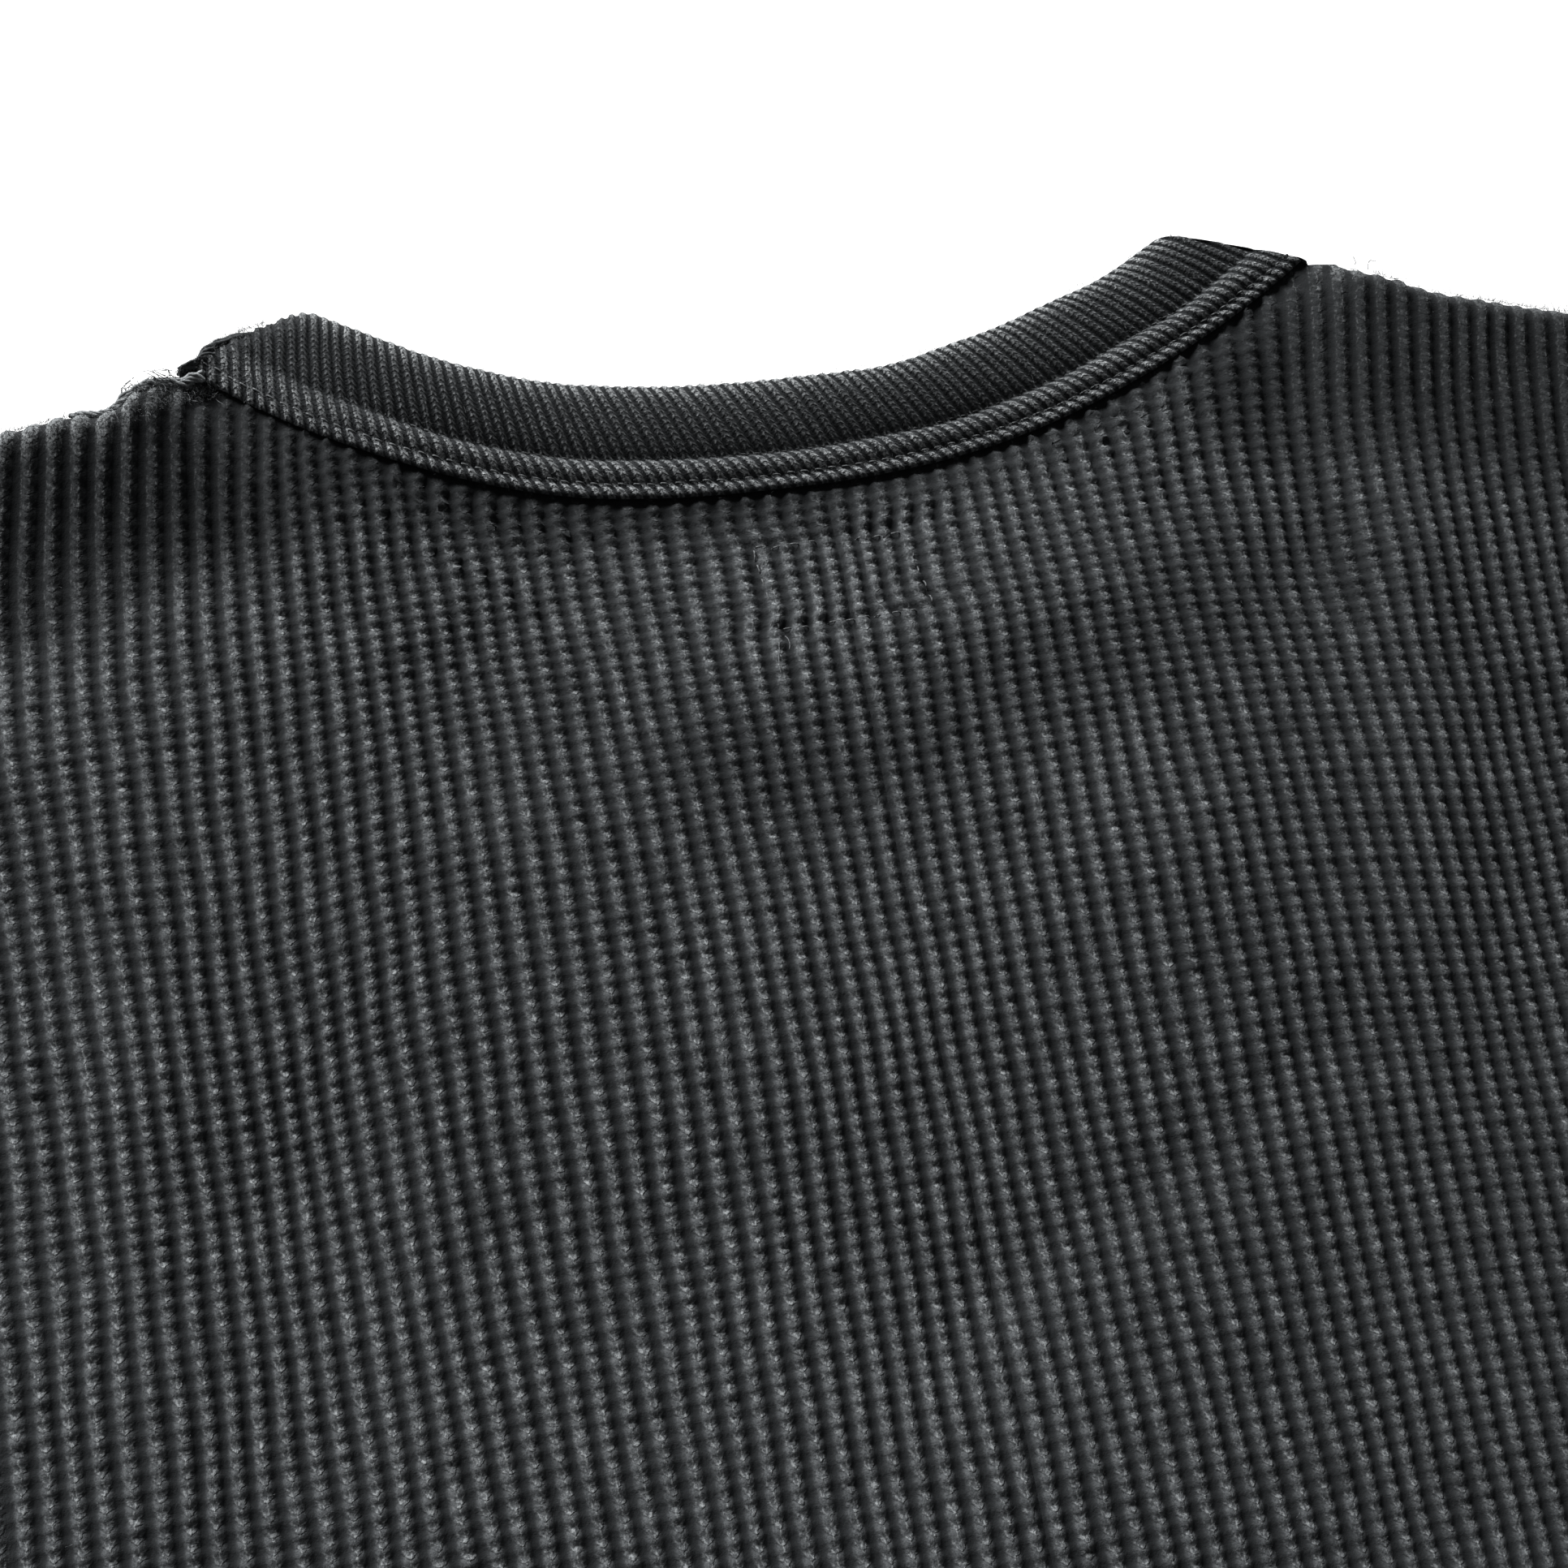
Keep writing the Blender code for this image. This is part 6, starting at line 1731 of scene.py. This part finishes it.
def dye_and_shade_group():
    """Garment dye and painted light: dark in the pits, partly dye and partly painted shade, pale on
    what stands proud, partly rubbed and partly painted highlight, cloudy over the whole, and darker
    under the painted shade mask.
    """
    takes = {"Place": None, "Height": 0.5, "Gleam": 0.0, "Wear": 0.0, "Lot": 0.0, "Unrubbed": 0.0}
    takes["PitDyeAndShade"] = (0.004, 0.005, 0.006, 1.0)
    takes["Body"] = (0.045, 0.048, 0.052, 1.0)
    takes["WornAndLit"] = (0.16, 0.17, 0.175, 1.0)
    group, start, end = new_group("garment dye and painted shade", takes, ["Color"])
    clouds = noise(group, start["Place"], CLOUDS, 3.0)
    patches = noise(group, start["Place"], PATCHES, 2.0)
    lint = noise(group, start["Place"], LINT, 2.0, 0.7)
    grain = ramp(group, lint, 0.30, 0.66, 0.55, 1.35)
    height = maths(group, "MAXIMUM", start["Height"], 0.0)
    height = times(group, height, times_plus(group, patches, 0.9, 0.60))
    height = times(group, height, times_plus(group, start["Lot"], 0.15, 1.0))
    height = times(group, height, grain)
    # painted shade: where the shade mask is high, the ground is darker and only the highest yarns stay
    # pale
    sharper = times_plus(group, start["Unrubbed"], 1.3, 1.25)
    ground_share = maths(group, "POWER", maths(group, "MINIMUM", height, 1.3), sharper)
    ground_share = times(group, ground_share, times_plus(group, start["Unrubbed"], -0.83, 1.0))
    # the pits take the darker colour, partly deeper dye and partly painted shade of the pits
    ground = mixed(group, maths(group, "MINIMUM", ground_share, 1.25), start["PitDyeAndShade"], start["Body"])
    bright = times(group, height, times_plus(group, start["Unrubbed"], -0.44, 0.66))
    # what is pale: the yarns that stand proud, rubbed and partly painted highlight, the worn edges,
    # partly painted highlight too, and cloudy patches on the beads
    rubbed = times(group, start["Gleam"], bright)
    edge = times(group, start["Wear"], ramp(group, lint, 0.36, 0.60))
    rubbed = maths(group, "ADD", rubbed, edge)
    cloudy = times(group, ramp(group, clouds, 0.42, 0.80), bright)
    rubbed = times_plus(group, cloudy, 0.16, rubbed)
    rubbed = maths(group, "MULTIPLY", rubbed, ramp(group, height, 0.04, 0.42), clamp=True)
    dry = mixed(group, rubbed, ground, start["WornAndLit"])
    # painted shade: the colour is mixed towards near black by the shade mask
    kept = ramp(group, start["Unrubbed"], 0.30, 1.15, 0.0, 0.38)
    feed(group, end["Color"], mixed(group, kept, dry, PAINTED_SHADE_COLOUR))
    return group


CELL_GROUP, TRIM_GROUP, YARN_GROUP, DYE_AND_SHADE_GROUP = (
    waffle_cell_group(), trim_rib_group(), yarn_group(), dye_and_shade_group()
)
print("shader groups:", ", ".join(group.name for group in bpy.data.node_groups))

# %% [markdown]
# ## Cloth materials
#
# Both knits are matt cotton, so the shader has a rough base and hardly any gloss. A sheen could
# stand for the light that upright fibres catch at a grazing angle, but here the fibres are made,
# so only a trace of it is left. The waffle's fine form is already in the mesh near the neck.
# Farther away the same cell comes back as bump, by one minus the detail that each point of the
# mesh says it has.

# %% Cotton
COTTON = {
    "Roughness": 0.93,
    "Specular IOR Level": 0.12,
    "Sheen Weight": 0.05,
    "Sheen Roughness": 0.45,
    "Sheen Tint": (0.75, 0.80, 0.85, 1.0),
}
MILLIMETRE = 0.001
FINE_LINT, FINE_LINT_RISE = 5200.0, 0.07  # per metre, and in millimetres


def new_material(name, finish):
    """A material, its nodes and its shader with what is the same all over the surface."""
    material = bpy.data.materials.new(name)
    material.use_nodes = True
    shader = material.node_tree.nodes["Principled BSDF"]
    for title, value in finish.items():
        shader.inputs[title].default_value = value
    return material, material.node_tree, shader


def attribute(tree, name):
    return node_with(tree, "ShaderNodeAttribute", {}, attribute_name=name)["Fac"]


def knit_places(tree):
    """Where a point is in the knit, and where it is on the cloth."""
    knit = node_with(tree, "ShaderNodeUVMap", {}, uv_map="knit")["UV"]
    return knit, node_with(tree, "ShaderNodeTexCoord", {})["Object"]


def bumped(tree, shader, height):
    inputs = {"Strength": 1.0, "Distance": MILLIMETRE, "Height": height}
    feed(tree, shader.inputs["Normal"], node_with(tree, "ShaderNodeBump", inputs)["Normal"])

# %% Knits
def knit_material(name, group, colours, yarn_values, stitch_depth, relief, yarn_relief, modelled):
    """A knit whose relief is in millimetres, less what the mesh itself has where modelled."""
    material, tree, shader = new_material(name, COTTON)
    material.diffuse_color = (*colours["Body"], 1.0)
    knit, place = knit_places(tree)
    pulled = attribute(tree, "pulled")
    height = placed_group(tree, group, Knit=knit, Pulled=pulled)["Height"]
    yarn = placed_group(tree, YARN_GROUP, Knit=knit, Pulled=pulled, **yarn_values)
    stitch = times_plus(tree, yarn["Stitch"], stitch_depth, 1.0 - stitch_depth)
    height = times(tree, height, stitch)
    dye = placed_group(
        tree,
        DYE_AND_SHADE_GROUP,
        Place=place,
        Height=height,
        Gleam=yarn["Gleam"],
        Wear=attribute(tree, "wear"),
        Lot=attribute(tree, "lot"),
        Unrubbed=attribute(tree, "painted_shade"),
        **{title: (*colour, 1.0) for title, colour in colours.items()},
    )
    feed(tree, shader.inputs["Base Color"], dye["Color"])
    share = maths(tree, "SUBTRACT", 1.0, attribute(tree, "detail")) if modelled else 1.0
    large = times(tree, times(tree, height, relief), share)
    fine = times(tree, yarn["Height"], yarn_relief)
    lint = times(tree, noise(tree, place, FINE_LINT, 2.0, 0.6), FINE_LINT_RISE)
    bumped(tree, shader, maths(tree, "ADD", large, maths(tree, "ADD", fine, lint)))
    return material


WAFFLE_COLOURS = {
    "PitDyeAndShade": (0.0102, 0.0112, 0.0120), "Body": (0.0478, 0.0511, 0.0538), "WornAndLit": (0.206, 0.217, 0.222)
}
TRIM_COLOURS = {
    "PitDyeAndShade": (0.0082, 0.0092, 0.0101), "Body": (0.0580, 0.0620, 0.0650), "WornAndLit": (0.268, 0.279, 0.284)
}
WAFFLE_YARN = {"Stitches": 1.0, "Slant": 1.2, "Fray": 3.2, "Reach": 0.36, "Line": 1.0, "Loose": 0.12}
TRIM_YARN = {"Stitches": 1.1, "Slant": 1.5, "Fray": 2.2, "Reach": 0.50, "Line": 0.0, "Loose": 0.60}
WAFFLE = {"group": CELL_GROUP, "colours": WAFFLE_COLOURS, "yarn_values": WAFFLE_YARN}
WAFFLE |= {"stitch_depth": 0.0, "yarn_relief": 0.30}
TRIM = {"group": TRIM_GROUP, "colours": TRIM_COLOURS, "yarn_values": TRIM_YARN}
TRIM |= {"stitch_depth": 0.40, "yarn_relief": 0.85}
WAFFLE_FINISH = knit_material("waffle_modelled", relief=0.9, modelled=True, **WAFFLE)
SLEEVE_FINISH = knit_material("waffle_bumped", relief=0.5, modelled=False, **WAFFLE)
TRIM_FINISH = knit_material("trim_rib", relief=0.34, modelled=False, **TRIM)

# %% Threads, and which piece has which finish
STRANDS, DEEP_SHARE, TWIST, TWIST_RISE = 3000.0, 0.45, 3.0, 0.03  # per metre; rise in millimetres


def thread_material(name, colour):
    """Twisted thread or loose fibres of one colour."""
    material, tree, shader = new_material(name, COTTON)
    material.diffuse_color = (*colour, 1.0)
    knit, place = knit_places(tree)
    strand = noise(tree, place, STRANDS)
    deep = tuple(DEEP_SHARE * part for part in colour)
    shade = mixed(tree, ramp(tree, strand, 0.30, 0.70), (*deep, 1.0), (*colour, 1.0))
    feed(tree, shader.inputs["Base Color"], shade)
    along, around = parts_of(tree, knit)
    twist = maths(tree, "SINE", times_plus(tree, along, TWIST, around))
    bumped(tree, shader, times(tree, twist, TWIST_RISE))
    return material


SEWING_FINISH = thread_material("sewing_thread", (0.105, 0.110, 0.113))
SEAM_END_FINISH = thread_material("shoulder_seam", (0.19, 0.20, 0.205))
FUZZ_FINISH = thread_material("cotton_fuzz", (0.115, 0.121, 0.125))
JOIN_FINISH = thread_material("overlock_thread", (0.040, 0.043, 0.045))

FINISHES = (
    (WAFFLE_FINISH, BACK_HALVES.values()),
    (SLEEVE_FINISH, (FRONT, *SLEEVES.values())),
    (TRIM_FINISH, (COLLAR, *CUFFS.values())),
    (SEWING_FINISH, (*COLLAR_SEWING, LABEL_SEWING, HEM_SEWING)),
    (FUZZ_FINISH, (THREAD_ENDS, COLLAR_FUZZ, BACK_FUZZ, JOIN_FUZZ)),
    (JOIN_FINISH, (JOIN_SEAM,)),
    (SEAM_END_FINISH, (SHOULDER_SEAM_END,)),
)
for finish, pieces in FINISHES:
    for piece in pieces:
        piece.data.materials.append(finish)
print("materials:", ", ".join(material.name for material in bpy.data.materials))

# %% [markdown]
# ## Riding on the frame
#
# Everything here is one body, so every piece rides on the root. A piece that stands for a solid
# hides it. Each half of the back also has its cut size and its area worked out, the area from its
# outline, since neither half is a rectangle, but neither is used.

# %% Pieces on the root
def dressed(piece, slot, *nodes):
    """Every piece rides on the one body and hides the solids that it stands for. slot, its kind of
    cloth, is not used.
    """
    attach(piece, "root")
    if nodes:
        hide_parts(*nodes)


def body_area(x_from, x_to, of_back):
    """Area of a body panel between two upright lines, under its own outline."""
    x = np.linspace(x_from, x_to, 400)
    return float(np.mean(upper_edge(x, of_back) + BODY_LENGTH)) * (x_to - x_from)


SEWN_ON_BACK = [LABEL_SEWING, HEM_SEWING, THREAD_ENDS, SHOULDER_SEAM_END, BACK_FUZZ]
for piece in SEWN_ON_BACK:
    dressed(piece, "waffle_knit")
SEWN_ON_COLLAR = [*COLLAR_SEWING, JOIN_SEAM, COLLAR_FUZZ, JOIN_FUZZ]
for piece in SEWN_ON_COLLAR:
    dressed(piece, "rib_knit")
for side, piece in BACK_HALVES.items():
    dressed(piece, "waffle_knit", "back")
    edges = sorted((JOIN_X, side * CHEST_HALF_WIDTH))
    size = (edges[1] - edges[0], BODY_LENGTH)
    area = min(body_area(*edges, True), size[0] * size[1])
dressed(FRONT, "waffle_knit", "front")
front_half = CHEST_HALF_WIDTH - FRONT_INSET
body_area(-front_half, front_half, False)
for side, word in SIDE_NAMES.items():
    dressed(SLEEVES[side], "waffle_knit", f"sleeve_{word}")
    dressed(CUFFS[side], "rib_knit", f"cuff_{word}")
dressed(COLLAR, "rib_knit", "collar")
print(f"{len(SEWN_ON_BACK)} pieces are sewn on the back and {len(SEWN_ON_COLLAR)} on the collar")

# %% [markdown]
# ## Table, light and camera
#
# A dark garment shows best on a white table under a large soft light. The light stands past the
# neck and to the left, so the collar's fold and the left of each bead are lit and every pit keeps
# its shadow. The table is plain white, and the sky around it fills the shadows. The camera stands
# close, a little to the left, and looks down at the neck, where the sewing and the knit are.

# %% Table
TABLE_HALF, TABLE_LEVEL = 8.0, -0.0004
TABLE_FINISH = {"Base Color": (0.90, 0.90, 0.90, 1.0), "Roughness": 0.9, "Specular IOR Level": 0.1}


def make_table():
    """A plain square under the top."""
    mesh = bpy.data.meshes.new("table")
    plan = ((-1, -1), (1, -1), (1, 1), (-1, 1))
    corners = [(x * TABLE_HALF, y * TABLE_HALF, TABLE_LEVEL) for x, y in plan]
    mesh.from_pydata(corners, [], [(0, 1, 2, 3)])
    table = bpy.data.objects.new("table", mesh)
    bpy.context.collection.objects.link(table)
    mesh.materials.append(new_material("table_white", TABLE_FINISH)[0])


make_table()
print(f"the table lies {-TABLE_LEVEL * 1000:.1f} mm under the cloth")

# %% Light
KEY_PLACE, KEY_SIZE, KEY_POWER, SKY = (-0.72, 1.60, 0.74), 1.15, 110.0, 0.16
LIGHT_AIM = (0.0, ORIGIN_Y - 0.08, 0.0)


def soft_light(name, place, aim, size, power):
    lamp = bpy.data.lights.new(name, "AREA")
    lamp.shape, lamp.size, lamp.energy = "DISK", size, power
    light = bpy.data.objects.new(name, lamp)
    light.location = place
    light.rotation_euler = (Vector(aim) - Vector(place)).to_track_quat("-Z", "Y").to_euler()
    bpy.context.collection.objects.link(light)


soft_light("key", KEY_PLACE, LIGHT_AIM, KEY_SIZE, KEY_POWER)
world = bpy.data.worlds.new("studio")
world.use_nodes = True
sky = world.node_tree.nodes["Background"]
sky.inputs["Color"].default_value = (1.0, 1.0, 1.0, 1.0)
sky.inputs["Strength"].default_value = SKY
bpy.context.scene.world = world
print(f"key light {KEY_POWER:.0f} W over {KEY_SIZE:.2f} m, sky {SKY:.2f}")

# %% Camera
CAMERA_PLACE = (-0.0929, ORIGIN_Y - 0.1856, 0.3653)
CAMERA_RIGHT = (0.9683, -0.1964, 0.1543)
CAMERA_UP = (0.1419, 0.9410, 0.3071)
CAMERA_LENS = 56.2


def make_camera():
    """The camera over the neck, turned by its right and up ways."""
    right = Vector(CAMERA_RIGHT).normalized()
    up = (Vector(CAMERA_UP) - Vector(CAMERA_UP).dot(right) * right).normalized()
    back = right.cross(up)
    camera = bpy.data.objects.new("camera", bpy.data.cameras.new("camera"))
    turn = Matrix((right, up, back)).transposed().to_4x4()
    camera.matrix_world = Matrix.Translation(CAMERA_PLACE) @ turn
    camera.data.lens = CAMERA_LENS
    camera.data.clip_start, camera.data.clip_end = 0.01, 50.0
    bpy.context.collection.objects.link(camera)
    bpy.context.scene.camera = camera


make_camera()
bpy.context.scene.view_settings.view_transform = "Standard"
print(f"camera {CAMERA_PLACE[2]:.3f} above the table, lens {CAMERA_LENS} mm")
